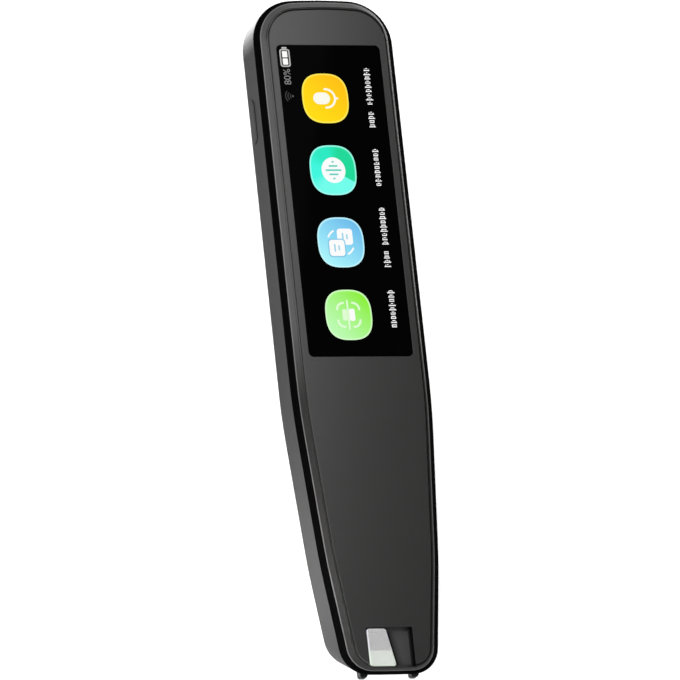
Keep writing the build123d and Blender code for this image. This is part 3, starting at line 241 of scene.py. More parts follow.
def coated(name, level, foot, foot_highlight_level, tip, worn):
    """Coated plastic with a painted highlight as a paler band along its foot, below a height, and its coat
    worn off towards the tip.
    """
    finish = Finish(name, Specular_IOR_Level=0.02, Coat_Roughness=0.22)
    blur = 0.04 * MM
    # painted highlight: below the foot's height the colour is much paler
    above_highlight = finish.share(finish.axis("Z"), foot - blur, foot + blur)
    finish.set("Base Color", finish.blend(above_highlight, grey(foot_highlight_level), grey(level, 0.02)))
    finish.rough(finish.noise(0.9 * MM, 3), 0.35, 0.45)
    along = finish.axis("Y")
    from_tip = finish.share(along, tip, worn, 0.02, 0.7)
    to_end = finish.share(along, END_BEND, END_BEND + 8 * MM, 1, 0.35)
    finish.set("Coat Weight", from_tip * to_end)
    return finish.bump(finish.noise(0.12 * MM), 0.003 * MM)


def clear_plastic(name, milk):
    """Clear moulded plastic, more or less milky."""
    finish = Finish(name, Transmission_Weight=1 - milk, IOR=1.49)
    haze = finish.noise(2 * MM, 3)
    finish.set("Base Color", finish.blend(haze, grey(0.882), grey(0.9)))
    return finish.rough(haze, 0.05, 0.12)


def wall_with_painted_shade(name, low, high, left, right):
    """Wall of a recess with painted shade: darker from a low height to a high one and from its left to its
    right.
    """
    finish = Finish(name, Roughness=0.6, Specular_IOR_Level=0.02)
    up = finish.share(finish.axis("Z"), low, high)
    across = finish.share(finish.axis("X"), left, right) + (finish.noise(0.3 * MM) - 0.5) * 0.1
    # painted shade: lighter at the wall's foot, darkest at its top and to its right
    foot = finish.blend(across, grey(0.026), grey(0.012))
    top = finish.blend(across, grey(0.018), grey(0.001))
    return finish.set("Base Color", finish.mix(up, foot, top))


def frosted(name, top, bottom, low, high, glow):
    """White plastic that glows, its tone changing along the pen from low to high: the lamps' own light, and a
    painted glow on the window's pieces.
    """
    finish = Finish(name, Emission_Strength=glow)
    along = finish.share(finish.axis("Y"), low, high)
    grains = finish.noise(0.35 * MM, 3)
    tone = finish.blend(along, bottom, top)
    finish.set("Base Color", finish.mix(grains * 0.12, tone, grey(0.4)))
    finish.set("Emission Color", tone)
    finish.rough(grains, 0.45, 0.6)
    return finish.bump(grains, 0.01 * MM)


def foam(name, level):
    """Soft foam or cloth with small cells."""
    finish = Finish(name, Roughness=0.9)
    cells = finish.node("TexVoronoi", {}, Vector=finish.place, Scale=1 / (0.25 * MM))
    finish.set("Base Color", finish.blend(cells * 1.4, grey(level * 0.5), grey(level)))
    return finish.bump(cells, 0.03 * MM)


def lit(name, centre, reach, colours, turn, rim, around):
    """A lit screen tile with a bright rim. Its colours run across it at an angle, or around its middle."""
    finish = Finish(name, **LIT)
    if around:
        start = Matrix.Rotation(-turn - pi, 2) @ Vector((-centre[0], -centre[1]))
        place = finish.node("Mapping", {}, finish.place, Location=(*start, 0), Rotation=(0, 0, -turn - pi))
        circle = finish.node("TexGradient", {"gradient_type": "RADIAL"}, Vector=place, output="Fac")
        tone = finish.blend(circle, *colours)
    else:
        across = (finish.axis("X") - centre[0]) * cos(turn) + (finish.axis("Y") - centre[1]) * sin(turn)
        tone = finish.blend(finish.share(across, -reach, reach), *colours)
    edge = finish.node("Attribute", {"attribute_name": "rim"}, output="Fac")
    return finish.set("Emission Color", finish.mix(edge * 0.75, tone, rim))


def plain_lit(name, code):
    """A lit screen shape of one hue, with the faint grain of the display's pixels."""
    finish = Finish(name, **LIT)
    pixels = finish.noise(0.12 * MM, 1)
    return finish.set("Emission Color", finish.blend(pixels, shade(paint(code), 0.92), paint(code)))


# ---- mesh tools --------------------------------------------------------------------------------

WELD = 0.002 * MM           # corners of a solid's triangles that are nearer than this are one
CORNER = radians(35)        # an edge sharper than this stays an edge
FLAT = radians(0.6)         # faces that meet at less than this are one flat side


def add_object(name, data):
    """A new object in the scene."""
    made = bpy.data.objects.new(name, data)
    bpy.context.scene.collection.objects.link(made)
    return made


def new_piece(name, bm):
    """An object from a bmesh, in metres, with its place in its mesh."""
    mesh = bpy.data.meshes.new(name)
    bm.to_mesh(mesh)
    bm.free()
    return add_object(name, mesh)


def plain_mesh(made):
    """A mesh of what an object's modifiers, or its text, make."""
    seen = made.evaluated_get(bpy.context.evaluated_depsgraph_get())
    return bpy.data.meshes.new_from_object(seen)


def apply_modifiers(made):
    """Turns an object's modifiers into its plain mesh."""
    old = made.data
    made.data = plain_mesh(made)
    made.modifiers.clear()
    bpy.data.meshes.remove(old)
    return made


def keep(piece, body, finish=None):
    """Puts a finished piece on its body and its material."""
    if finish:
        piece.data.materials.clear()
        piece.data.materials.append(finish.material)
    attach(piece, body)


def softened(node, finish, edge=0.0, patches=(), whole=False):
    """A merged copy of a solid with smooth curves and slightly rounded edges, in the solid's place.

    Each patch is another finish and a function of a face's middle and normal that picks its faces.
    A whole copy has each of its flat sides as one face.
    """
    bm = bmesh.new()
    bm.from_mesh(frame["nodes"][node].data)
    bmesh.ops.remove_doubles(bm, verts=bm.verts, dist=WELD)
    if whole:
        bmesh.ops.dissolve_limit(bm, angle_limit=FLAT, verts=bm.verts, edges=bm.edges)
    for face in bm.faces:
        face.smooth = True
    for line in bm.edges:
        line.smooth = len(line.link_faces) == 2 and line.calc_face_angle(0) < CORNER
    made = new_piece(node + "_skin", bm)
    if edge:
        bevel = made.modifiers.new("edges", "BEVEL")
        bevel.width = edge
        bevel.segments = 2
        bevel.limit_method = "ANGLE"
        bevel.angle_limit = CORNER
        bevel.miter_outer = "MITER_ARC"
        bevel.harden_normals = True
    weigh = made.modifiers.new("shading", "WEIGHTED_NORMAL")
    weigh.keep_sharp = True
    apply_modifiers(made)
    made.data.materials.append(finish.material)
    for number, (other, picks) in enumerate(patches):
        made.data.materials.append(other.material)
        for face in made.data.polygons:
            if picks(face.center, face.normal):
                face.material_index = number + 1
    keep(made, frame["nodes"][node]["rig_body"])
    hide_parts(node)


# ---- patterns made with Geometry Nodes ---------------------------------------------------------


class Pattern:
    """A Geometry Nodes tree with named sizes, which makes plain meshes."""

    KINDS = {int: "NodeSocketInt", float: "NodeSocketFloat", tuple: "NodeSocketVector"}

    def __init__(self, name, **sizes):
        self.tree = bpy.data.node_groups.new(name, "GeometryNodeTree")
        self.keys = {}
        for label, value in sizes.items():
            socket = self.tree.interface.new_socket(
                label.replace("_", " "), in_out="INPUT", socket_type=self.KINDS[type(value)]
            )
            socket.default_value = value
            self.keys[label] = socket.identifier
        self.tree.interface.new_socket("Geometry", in_out="OUTPUT", socket_type="NodeSocketGeometry")
        self.sizes = self.tree.nodes.new("NodeGroupInput")

    def size(self, label):
        """The tree's socket for one of its sizes."""
        return next(out for out in self.sizes.outputs if out.identifier == self.keys[label])

    def node(self, kind, settings, **inputs):
        """The output of a new node, whose inputs are given by name."""
        made = self.tree.nodes.new(kind)
        for field, value in settings.items():
            setattr(made, field, value)
        for label, value in inputs.items():
            socket = next(s for s in made.inputs if s.name == label.replace("_", " ") and s.enabled)
            if isinstance(value, bpy.types.NodeSocket):
                self.tree.links.new(value, socket)
            else:
                socket.default_value = value
        return next(out for out in made.outputs if out.enabled)

    def end(self, geometry):
        """Realizes the instances and leaves a place for the material."""
        solid = self.node("GeometryNodeRealizeInstances", {}, Geometry=geometry)
        self.painted = self.node("GeometryNodeSetMaterial", {}, Geometry=solid)
        out = self.tree.nodes.new("NodeGroupOutput")
        self.tree.links.new(self.painted, out.inputs[0])

    def make(self, name, finish, **sizes):
        """A plain mesh object of the pattern with these sizes."""
        self.painted.node.inputs["Material"].default_value = finish.material
        made = new_piece(name, bmesh.new())
        grow = made.modifiers.new("pattern", "NODES")
        grow.node_group = self.tree
        for label, value in sizes.items():
            grow[self.keys[label]] = value
        return apply_modifiers(made)


def block_row():
    """Blocks along a line, each scaled at random between two limits."""
    row = Pattern(
        "block_row", Count=4, Start=(0.0, 0.0, 0.0), Step=(1.0, 0.0, 0.0), Block=(1.0, 1.0, 1.0),
        Smallest=(1.0, 1.0, 1.0), Largest=(1.0, 1.0, 1.0), Seed=1,
    )
    line = row.node(
        "GeometryNodeMeshLine", {"mode": "OFFSET"}, Count=row.size("Count"), Start_Location=row.size("Start"),
        Offset=row.size("Step"),
    )
    block = row.node("GeometryNodeMeshCube", {}, Size=row.size("Block"))
    vary = row.node(
        "FunctionNodeRandomValue", {"data_type": "FLOAT_VECTOR"}, Min=row.size("Smallest"),
        Max=row.size("Largest"), Seed=row.size("Seed"),
    )
    row.end(row.node("GeometryNodeInstanceOnPoints", {}, Points=line, Instance=block, Scale=vary))
    return row


BLOCKS = block_row()       # makes the marks on the screen and the socket's contacts

# ---- what the screen shows ---------------------------------------------------------------------
# Shapes are drawn in millimetres with the pen held sideways: u along the pen towards its charging
# end, v up, which is the pen's -X. Both are measured from the middle of the glass.

glass_low, glass_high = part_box("touch_glass")
SCREEN_X = (glass_low[0] + glass_high[0]) / 2
SCREEN_Y = (glass_low[1] + glass_high[1]) / 2
GLASS_TOP = glass_high[2]
SCREEN_RIGHT = (glass_high[1] - glass_low[1]) / 2 / MM      # its edges, in the drawing's millimetres
SCREEN_TOP = (glass_high[0] - glass_low[0]) / 2 / MM
LAYER = 0.010 * MM          # each layer of shapes above the one below
STRETCH = 1.08              # tiles and discs are drawn out along the pen

TILE_SIZE = 10.7
TILE_V = 1.9
TILE_U = (23.6, 6.9, -9.8, -26.5)
TILE_RIM = 0.075            # share of a tile that its bright rim takes
LABEL_V = -8.4

WHITE_GLOW = plain_lit("lit_white", "FFFFFF")
CREAM_GLOW = plain_lit("lit_cream", "FFFEF0")
DIM_GLOW = plain_lit("lit_dim", "363636")
SPOT_GLOW = plain_lit("lit_spot", "5C5C5C")
GREY_GLOW = plain_lit("lit_grey", "868686")
PALE_GLOW = plain_lit("lit_pale", "BDBDBB")
TEAL_GLOW = plain_lit("lit_teal", "63D3BF")
SKY_GLOW = plain_lit("lit_sky", "82C8E8")
FAINT_GLOW = plain_lit("lit_faint", "9FD6EC")
MINT_GLOW = plain_lit("lit_mint", "E2FFD6")
UNLIT = plain_lit("unlit", "0A0A0A")


def on_pen(u, v):
    """Where a point of the drawing is on the pen, in metres."""
    return SCREEN_X - v * MM, SCREEN_Y + u * MM


def squircle(u, v, size, power=2.7, points=72):
    """A rounded square, drawn out along the pen."""
    outline = []
    for step in range(points):
        turn = 2 * pi * step / points
        du = copysign(abs(cos(turn)) ** (2 / power), cos(turn))
        dv = copysign(abs(sin(turn)) ** (2 / power), sin(turn))
        outline.append((u + du * size / 2 * STRETCH, v + dv * size / 2))
    return outline


def box_shape(u, v, width, height, radius=0.0):
    """A rectangle with rounded corners."""
    points = 6
    outline = []
    for corner, (su, sv) in enumerate(((1, 1), (-1, 1), (-1, -1), (1, -1))):
        for step in range(points + 1):
            angle = pi / 2 * (corner + step / points)
            du = su * (width / 2 - radius) + radius * cos(angle)
            dv = sv * (height / 2 - radius) + radius * sin(angle)
            outline.append((u + du, v + dv))
    return outline


def arc_points(u, v, radius, first, last, steps):
    """Evenly spaced points on an arc, with both its ends."""
    angles = [first + (last - first) * step / steps for step in range(steps + 1)]
    return [(u + radius * cos(angle), v + radius * sin(angle)) for angle in angles]


def arc_shape(u, v, radius, width, start, end):
    """A curved band with rounded ends, from one angle to another in degrees."""
    points, cap_points = 20, 6
    first, last = radians(start), radians(end)
    far_end = (u + radius * cos(last), v + radius * sin(last))
    near_end = (u + radius * cos(first), v + radius * sin(first))
    outline = arc_points(u, v, radius + width / 2, first, last, points)
    outline += arc_points(*far_end, width / 2, last, last + pi, cap_points)[1:-1]
    outline += arc_points(u, v, radius - width / 2, last, first, points)
    outline += arc_points(*near_end, width / 2, first + pi, first + 2 * pi, cap_points)[1:-1]
    return outline


def plate(name, outlines, layer, finish, rim=0.0):
    """Flat shapes on the glass, in one piece. A rim marks the edge of each for its material."""
    bm = bmesh.new()
    low = GLASS_TOP - LAYER
    high = GLASS_TOP + layer * LAYER
    mark = bm.verts.layers.float.new("rim")
    for outline in outlines:
        middle_u = sum(u for u, v in outline) / len(outline)
        middle_v = sum(v for u, v in outline) / len(outline)
        rings = []
        steps = [(1.0, low), (1.0, high)]
        if rim:
            steps += [(1.0 - 0.6 * rim, high), (1.0 - rim, high)]
        for share, level in steps:
            ring = []
            for u, v in outline:
                x, y = on_pen(middle_u + (u - middle_u) * share, middle_v + (v - middle_v) * share)
                vert = bm.verts.new((x, y, level))
                vert[mark] = 0.0 if rim and share == 1.0 - rim else 1.0
                ring.append(vert)
            rings.append(ring)
        for lower, upper in zip(rings, rings[1:]):
            for here in range(len(lower)):
                there = (here + 1) % len(lower)
                bm.faces.new((lower[here], lower[there], upper[there], upper[here]))
        bm.faces.new(rings[-1])
        bm.faces.new(rings[0][::-1])
    keep(new_piece(name, bm), "housing", finish)


def tile(name, u, colours, turn, rim, around=False):
    """One lit tile of the menu."""
    colours = [paint(code) for code in colours]
    reach = 0.5 * TILE_SIZE * MM
    finish = lit("lit_" + name, on_pen(u, TILE_V), reach, colours, radians(turn), paint(rim), around)
    plate("tile_" + name, [squircle(u, TILE_V, TILE_SIZE)], 1, finish, rim=TILE_RIM)


def word(name, start_u, length, seed):
    """Small made-up marks in the place of a menu word: pairs of upright strokes, joined above or below."""
    pitch = 0.98 * MM
    apart = 0.44 * MM       # the two strokes of a mark
    tall, wide, deep = 1.1 * MM, 0.22 * MM, 2 * LAYER
    join = 0.42 * tall      # from a mark's middle to the strokes that join it
    count = round(length * MM / pitch)
    x, y = on_pen(start_u, LABEL_V)
    stroke, bar = (tall, wide, deep), (wide, apart, 0.9 * deep)
    rows = {        # where each is in its mark, its block, and the least and most that it is scaled
        "first": (0, 0, stroke, (0.85, 0.9, 1), (1.55, 1.1, 1)),
        "second": (0, apart, stroke, (0.2, 0.9, 1), (1.05, 1.1, 1)),
        "above": (-join, apart / 2, bar, (0.2, 0.3, 1), (1, 1.2, 1)),
        "below": (join, apart / 2, bar, (0.2, 0.3, 1), (1, 1.2, 1)),
    }
    for number, (row, (over, along, block, smallest, largest)) in enumerate(rows.items()):
        made = BLOCKS.make(
            f"word_{name}_{row}", WHITE_GLOW, Count=count, Start=(x + over, y + along, GLASS_TOP),
            Step=(0.0, pitch, 0.0), Block=block, Smallest=smallest, Largest=largest, Seed=seed + 10 * number,
        )
        keep(made, "housing")


def digits(name, text, u, v, height, finish):
    """Upright digits, as a flat mesh on the glass."""
    font_size = 1.4         # over the height of its digits
    curve = bpy.data.curves.new(name, "FONT")
    curve.body = text
    curve.size = height * font_size * MM
    curve.extrude = LAYER
    curve.align_x = "CENTER"
    curve.align_y = "CENTER"
    line = add_object(name + "_line", curve)
    made = add_object(name, plain_mesh(line))
    bpy.data.objects.remove(line)
    x, y = on_pen(u, v)
    made.data.transform(Matrix.Translation((x, y, GLASS_TOP)) @ Matrix.Rotation(pi / 2, 4, "Z"))
    keep(made, "housing", finish)


def talk_tile(u):
    """Yellow tile with a microphone."""
    tile("talk", u, ("FFDC00", "FFD000", "FFC000"), 45, "FFF060")
    line = 0.48
    capsule = box_shape(u, TILE_V + 0.85, 2.75, 3.9, radius=1.36)
    cradle = arc_shape(u, TILE_V - 0.1, 2.15, line, 178, 362)
    stem = box_shape(u, TILE_V - 2.6, line, 0.75)
    plate("microphone", [capsule, cradle, stem], 2, CREAM_GLOW)


def record_tile(u):
    """Teal tile with a sound wave on a disc."""
    green, teal, aqua, pale = "18D898", "25EAC2", "3CF5DC", "70FCEA"
    colours = [green] * 4 + [teal] * 2 + [aqua] * 2 + [pale] * 4
    tile("record", u, colours, -30, "A8FFF2", around=True)
    middle_v = TILE_V - 0.1
    plate("wave_disc", [squircle(u, middle_v, 5.5, power=2)], 2, WHITE_GLOW)
    bars = [
        box_shape(u + step * 0.97, middle_v, 0.4, length, radius=0.18)
        for step, length in zip(range(-2, 3), (0.55, 2.1, 3.7, 2.1, 0.55))
    ]
    plate("wave_bars", bars, 3, TEAL_GLOW)


def exchange_tile(u):
    """Blue tile with two cards that change places."""
    tile("exchange", u, ("A8F2FA", "8AD8F4", "6DBCEB"), 50, "C8FAFF")
    width, height = 3.73, 3.55
    back_u, back_v = u + 1.3, TILE_V - 1.06
    front_u, front_v = u - 1.28, TILE_V + 1.0
    plate("back_card", [box_shape(back_u, back_v, width, height, radius=0.7)], 2, WHITE_GLOW)
    plate("card_gap", [box_shape(front_u, front_v, 4.25, 4.05, radius=0.85)], 3, SKY_GLOW)
    plate("front_card", [box_shape(front_u, front_v, width, height, radius=0.7)], 4, WHITE_GLOW)
    lines = [
        box_shape(mark_u, mark_v + rise, length, 0.36, radius=0.16)
        for mark_u, mark_v in ((back_u, back_v), (front_u, front_v))
        for rise, length in ((0.5, 1.8), (-0.45, 1.2))
    ]
    plate("card_lines", lines, 5, FAINT_GLOW)
    turns = [arc_shape(u, TILE_V, 3.05, 0.4, middle - 17, middle + 17) for middle in (48, 226)]
    plate("exchange_turns", turns, 2, WHITE_GLOW)


def lookup_tile(u):
    """Green tile with a book between four brackets, and a line read through it."""
    tile("lookup", u, ("BCFAB4", "A6F583", "8AEF35"), 40, "DCFFD0")
    reach_u, reach_v, bend = 2.75, 2.55, 1.5
    brackets = []
    for number, (side_u, side_v) in enumerate(((1, 1), (-1, 1), (-1, -1), (1, -1))):
        bend_u, bend_v = u + side_u * (reach_u - bend), TILE_V + side_v * (reach_v - bend)
        brackets.append(arc_shape(bend_u, bend_v, bend, 0.5, 90 * number, 90 * number + 90))
    plate("brackets", brackets, 2, MINT_GLOW)
    plate("page_left", [box_shape(u, TILE_V + 0.9, 2.6, 1.1, radius=0.35)], 2, MINT_GLOW)
    plate("page_right", [box_shape(u, TILE_V - 0.8, 2.8, 1.3, radius=0.4)], 2, WHITE_GLOW)
    plate("reading_line", [box_shape(u, TILE_V + 0.1, 6.9, 0.4, radius=0.2)], 3, MINT_GLOW)


def status_line():
    """Battery, its charge and the wireless sign, in the upper corner."""
    u, v = SCREEN_RIGHT - 3.0, SCREEN_TOP - 1.75        # the battery's middle
    plate("battery_case", [box_shape(u, v, 4.15, 2.35, radius=0.55)], 1, PALE_GLOW)
    plate("battery_nub", [box_shape(u + 2.35, v, 0.4, 1.2, radius=0.15)], 1, PALE_GLOW)
    plate("battery_inside", [box_shape(u, v, 3.55, 1.75, radius=0.3)], 2, UNLIT)
    cells = [box_shape(u + step, v, 1.45, 1.2, radius=0.15) for step in (-0.85, 0.85)]
    plate("battery_cells", cells, 3, WHITE_GLOW)
    digits("charge_digits", "80%", u - 4.4, v - 0.15, 1.6, GREY_GLOW)
    sign_u, sign_v = u - 8.9, v - 0.9
    waves = [arc_shape(sign_u, sign_v, reach, 0.24, 50, 130) for reach in (0.6, 1.15, 1.7)]
    plate("wireless_waves", waves, 1, DIM_GLOW)
    plate("wireless_spot", [squircle(sign_u, sign_v, 0.4, power=2, points=16)], 1, SPOT_GLOW)


WORDS = {       # where each starts along the screen, its length and its seed
    "talk_first": (17.0, 4.4, 3),
    "talk_second": (22.3, 8.9, 5),
    "record": (3.4, 8.7, 8),
    "exchange_first": (-15.4, 4.2, 13),
    "exchange_second": (-10.2, 8.9, 21),
    "lookup": (-29.3, 8.7, 34),
}

for draw_tile, tile_u in zip((talk_tile, record_tile, exchange_tile, lookup_tile), TILE_U):
    draw_tile(tile_u)
for name, (start_u, length, seed) in WORDS.items():
    word(name, start_u, length, seed)
status_line()

# ---- the pen's finishes ------------------------------------------------------------------------

bezel_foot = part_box("front_bezel")[0][2]
panel_low, panel_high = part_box("front_panel")
window_low, window_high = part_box("scan_window")
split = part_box("window_reflector")[1][1]        # where the window's white block meets the grey one
PALE_HIGHLIGHT = (0.5, 0.49, 0.53, 1)
GREEN_HIGHLIGHT = (0.53, 0.59, 0.51, 1)
GREEN_WHITE = (0.8, 0.86, 0.79, 1)
LAMP_RESIN = (0.8, 0.78, 0.6, 1)


def shell_plastic():
    """Matte grey plastic, rubbed glossy at the charging end."""
    finish = moulded(
        "shell_plastic", 0.034, 0.16 * MM, 0.010 * MM, 0.45, Specular_IOR_Level=0.01, Coat_Roughness=0.12
    )
    return finish.set("Coat Weight", finish.share(finish.axis("Y"), END_BEND, END_BEND + 5 * MM, 0, 1))


def pocket_floor():
    """Black plastic with the window's shadow painted on it, to the right of the window's leaning side."""
    finish = moulded("pocket_floor", 0.029, 0.2 * MM, 0.004 * MM, 0.5, Specular_IOR_Level=0.1)
    lean = 1.7 * MM         # of the window's right side, towards the charging end
    side = finish.share(
        finish.axis("Y"), window_low[1], window_high[1], window_high[0], window_high[0] - lean
    )
    from_window = finish.share(finish.axis("X") - side, 0.8 * MM, 2.4 * MM)
    # painted shadow: nearly black next to the window, paler further off
    shades = [grey(level) for level in (0.001, 0.015, 0.021, 0.026, 0.03)]
    return finish.set("Base Color", finish.blend(from_window, *shades))


SHELL = shell_plastic()
BAND = gloss("band_gloss", 0.0012, 0.12, Specular_IOR_Level=0.0006)
# the bezel's paler foot is a painted highlight along its lower outer edge
BEZEL = coated("bezel_coat", 0.013, bezel_foot + 0.3 * MM, 0.066, -16 * MM, 2 * MM)
PANEL = moulded("panel_plastic", 0.0095, 0.12 * MM, 0.004 * MM, 0.35, warm=0.02)
GLASS = gloss("screen_glass", 0.0005, 0.06, Specular_IOR_Level=0.005)
BUTTON = moulded("button_plastic", 0.036, 0.14 * MM, 0.006 * MM, 0.42, Specular_IOR_Level=0.01)
TRIGGER = moulded("trigger_plastic", 0.004, 0.2 * MM, 0.005 * MM, 0.35, Specular_IOR_Level=0.1)
BLACK = moulded("black_plastic", 0.02, 0.2 * MM, 0.006 * MM, 0.5)
WHITE = moulded("white_plastic", 0.7, 0.2 * MM, 0.004 * MM, 0.45)
CLEAR = clear_plastic("clear_plastic", 0.0)
WINDOW = clear_plastic("window_plastic", 0.25)
# painted highlight: the window's bevels are paler than the window and glow
WINDOW_EDGE_HIGHLIGHT = frosted("window_edge", PALE_HIGHLIGHT, GREEN_HIGHLIGHT, split - MM, split + MM, 0.1)
# painted glow: the window's grey and white blocks glow, though they are no lamps
DIFFUSER = frosted("frosted_plastic", grey(0.6), grey(0.6), split, window_high[1], 0.1)
REFLECTOR = frosted("white_reflector", GREEN_WHITE, GREEN_WHITE, window_low[1], split, 0.22)
# painted shade on the walls of the window's pocket
POCKET = wall_with_painted_shade("pocket_wall_shade", panel_high[2] - 1.4 * MM, panel_high[2] - MM, 2.8 * MM, 4.4 * MM)
POCKET_FLOOR = pocket_floor()
# painted light: the groove's walls are much paler than the panel, so that the deep gap does not look dark
GROOVE_PAINTED_LIGHT = moulded("groove_painted_light", 0.07, 0.2 * MM, 0.004 * MM, 0.5, Specular_IOR_Level=0.1)
# painted shade: near-black put on the walls of gaps, where only shade falls
GAP_PAINTED_SHADE = gloss("gap_shade", 0.002, 0.5, Specular_IOR_Level=0.01)
STEEL = rolled_metal("sheet_steel", (0.62, 0.62, 0.64), 0.28)
SCREW = rolled_metal("screw_steel", (0.12, 0.12, 0.13), 0.35, (1, 1, 1))
GOLD = rolled_metal("contact_gold", (0.83, 0.6, 0.24), 0.25)
CELL = rolled_metal("battery_film", (0.6, 0.61, 0.62), 0.35)
BOARD = circuit_board()
FLEX = film("flex_film", (0.42, 0.19, 0.04))
DISPLAY = gloss("display_layers", 0.02, 0.15)
RESIN = moulded("chip_resin", 0.03, 0.1 * MM, 0.003 * MM, 0.5)
LIGHT = frosted("light_resin", LAMP_RESIN, LAMP_RESIN, -1.0, 1.0, 0.3)
LENS = gloss("lens_glass", 0.02, 0.04, (0.6, 0.7, 1.0), Coat_Weight=1.0)
FOAM = foam("foam_tape", 0.05)
LEADS = gloss("lead_rubber", 0.25, 0.4, (1, 0.07, 0.05))
TONGUE = gloss("connector_plastic", 0.02, 0.3)
CLOTH = foam("mesh_cloth", 0.02)

# ---- the outside, which gets merged copies of its solids ---------------------------------------

button_low, button_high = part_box("power_button")
LEFT_SIDE = -13 * MM                # the left wall and its button are further out
POCKET_LEFT = -5.85 * MM            # just outside the pocket's side walls
POCKET_RIGHT = 4.85 * MM
POCKET_DEPTH = 1.5 * MM             # just below its floor
POCKET_REACH = 6 * MM               # its walls are nearer to the pen's middle line
CLEARANCE = 0.3 * MM                # most room between a piece and the walls around it
WALL, FLAT_FACE = 0.3, 0.95         # how far a normal points outwards: less on a wall, more on a flat


def beside(place, low, high):
    """Between two sides of a piece, or in the room around it."""
    return low - CLEARANCE < place < high + CLEARANCE


def in_button_gap(middle, normal):
    """The walls of the slot that the power button stands in, which are painted black as shade."""
    along = beside(middle.y, button_low[1], button_high[1])
    up = beside(middle.z, button_low[2], button_high[2])
    inwards = abs(normal.x) < 0.5
    return along and up and inwards and middle.x < LEFT_SIDE


def on_button_wall(middle, normal):
    """The low wall around the power button, painted black as shade."""
    return abs(normal.x) < WALL


def in_pocket(middle, normal):
    """The window's pocket in the front."""
    across = POCKET_LEFT < middle.x < POCKET_RIGHT
    below_face = panel_high[2] - POCKET_DEPTH < middle.z < panel_high[2] - 0.01 * MM
    return across and below_face and beside(middle.y, window_low[1], window_high[1])


def on_pocket_floor(middle, normal):
    """The floor of that pocket."""
    return in_pocket(middle, normal) and normal.z > FLAT_FACE


def in_groove(middle, normal):
    """The walls of the narrow groove around the front panel."""
    by_pocket = abs(middle.x) <= POCKET_REACH and window_low[1] <= middle.y <= SCREEN_Y
    below_face = panel_low[2] < middle.z < panel_high[2] - 0.1 * MM
    not_flat = abs(normal.z) < 0.9
    return below_face and not_flat and not by_pocket


def on_window_edge(middle, normal):
    """The window's bevelled edges, which get a painted highlight."""
    return WALL < normal.z < FLAT_FACE


def on_window_side(middle, normal):
    """The window's walls, in the pocket, painted black as shade."""
    return abs(normal.z) < WALL


# Painted light on the outside: black shade in gaps, shade and shadow in the pocket, a paler groove and
# highlights on the window's bevels
POCKET_PATCHES = ((POCKET, in_pocket), (POCKET_FLOOR, on_pocket_floor))
softened("back_shell", SHELL, 0.1 * MM, patches=((GAP_PAINTED_SHADE, in_button_gap),))
softened("middle_frame", BAND, 0.06 * MM)
softened("front_bezel", BEZEL, 0.05 * MM, patches=POCKET_PATCHES, whole=True)
softened("front_panel", PANEL, 0.03 * MM, patches=((GROOVE_PAINTED_LIGHT, in_groove), *POCKET_PATCHES), whole=True)
softened("touch_glass", GLASS)
softened("power_button", BUTTON, 0.12 * MM, patches=((GAP_PAINTED_SHADE, on_button_wall),))
softened("scan_trigger", TRIGGER)
softened("scan_window", WINDOW, patches=((WINDOW_EDGE_HIGHLIGHT, on_window_edge), (GAP_PAINTED_SHADE, on_window_side)))
softened("window_diffuser", DIFFUSER)
softened("window_reflector", REFLECTOR)
softened("socket_shell", STEEL)

# ---- the inner solids, which keep their meshes -------------------------------------------------

INNER = {
    BLACK: ("camera_housing", "lens_barrel", "trigger_switch", "power_switch", "speaker"),
    WHITE: ("power_plunger", "trigger_plunger"),
    CLEAR: ("scan_cover",),
    STEEL: ("display_tray", "processor_shield", "microphones"),
    SCREW: ("case_screws",),
    CELL: ("battery",),
    BOARD: ("camera_board", "tip_board", "main_board"),
    FLEX: ("display_flex", "camera_flex", "tip_flex", "key_flex", "wireless_antenna"),
    DISPLAY: ("display_panel",),
    RESIN: ("image_sensor", "processor", "memory_chip"),
    LIGHT: ("scan_lights", "window_light"),
    LENS: ("camera_lens",),
    FOAM: ("battery_tape", "speaker_gasket"),
    LEADS: ("battery_leads",),
    TONGUE: ("socket_tongue", "battery_plug"),
    CLOTH: ("speaker_mesh",),
}
for finish, nodes in INNER.items():
    for node in nodes:
        materials = frame["nodes"][node].data.materials
        materials.clear()
        materials.append(finish.material)

# ---- contacts on both faces of the charging socket's tongue ------------------------------------

CONTACTS = 12
CONTACT_PITCH = 0.5 * MM
CONTACT = (0.26 * MM, 3.4 * MM, 0.04 * MM)
CONTACT_SETBACK = 0.3 * MM          # from the tongue's end
TONGUE_HALF = 0.35 * MM             # half its thickness
tongue_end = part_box("socket_tongue")[1][1]
socket_low, socket_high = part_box("socket_shell")
socket_z = (socket_low[2] + socket_high[2]) / 2
for face, side in (("upper", 1), ("lower", -1)):
    first_contact = (
        -CONTACT_PITCH * (CONTACTS - 1) / 2,
        tongue_end - CONTACT[1] / 2 - CONTACT_SETBACK,
        socket_z + side * TONGUE_HALF,
    )
    contacts = BLOCKS.make(
        "contacts_" + face, GOLD, Count=CONTACTS, Block=CONTACT, Step=(CONTACT_PITCH, 0.0, 0.0),
        Start=first_contact,
    )
    keep(contacts, "housing")

# ---- floor, light and camera -------------------------------------------------------------------

FLOOR_HALF = 2.5
FLOOR_DROP = 0.02 * MM              # clear of the pen's back
PEN = (0, 0, 6 * MM)                # what the lamps look at
SHEEN_X, SHEEN_Y = -0.035, 0.032    # the lamp whose sheen lies on the front hangs over this point


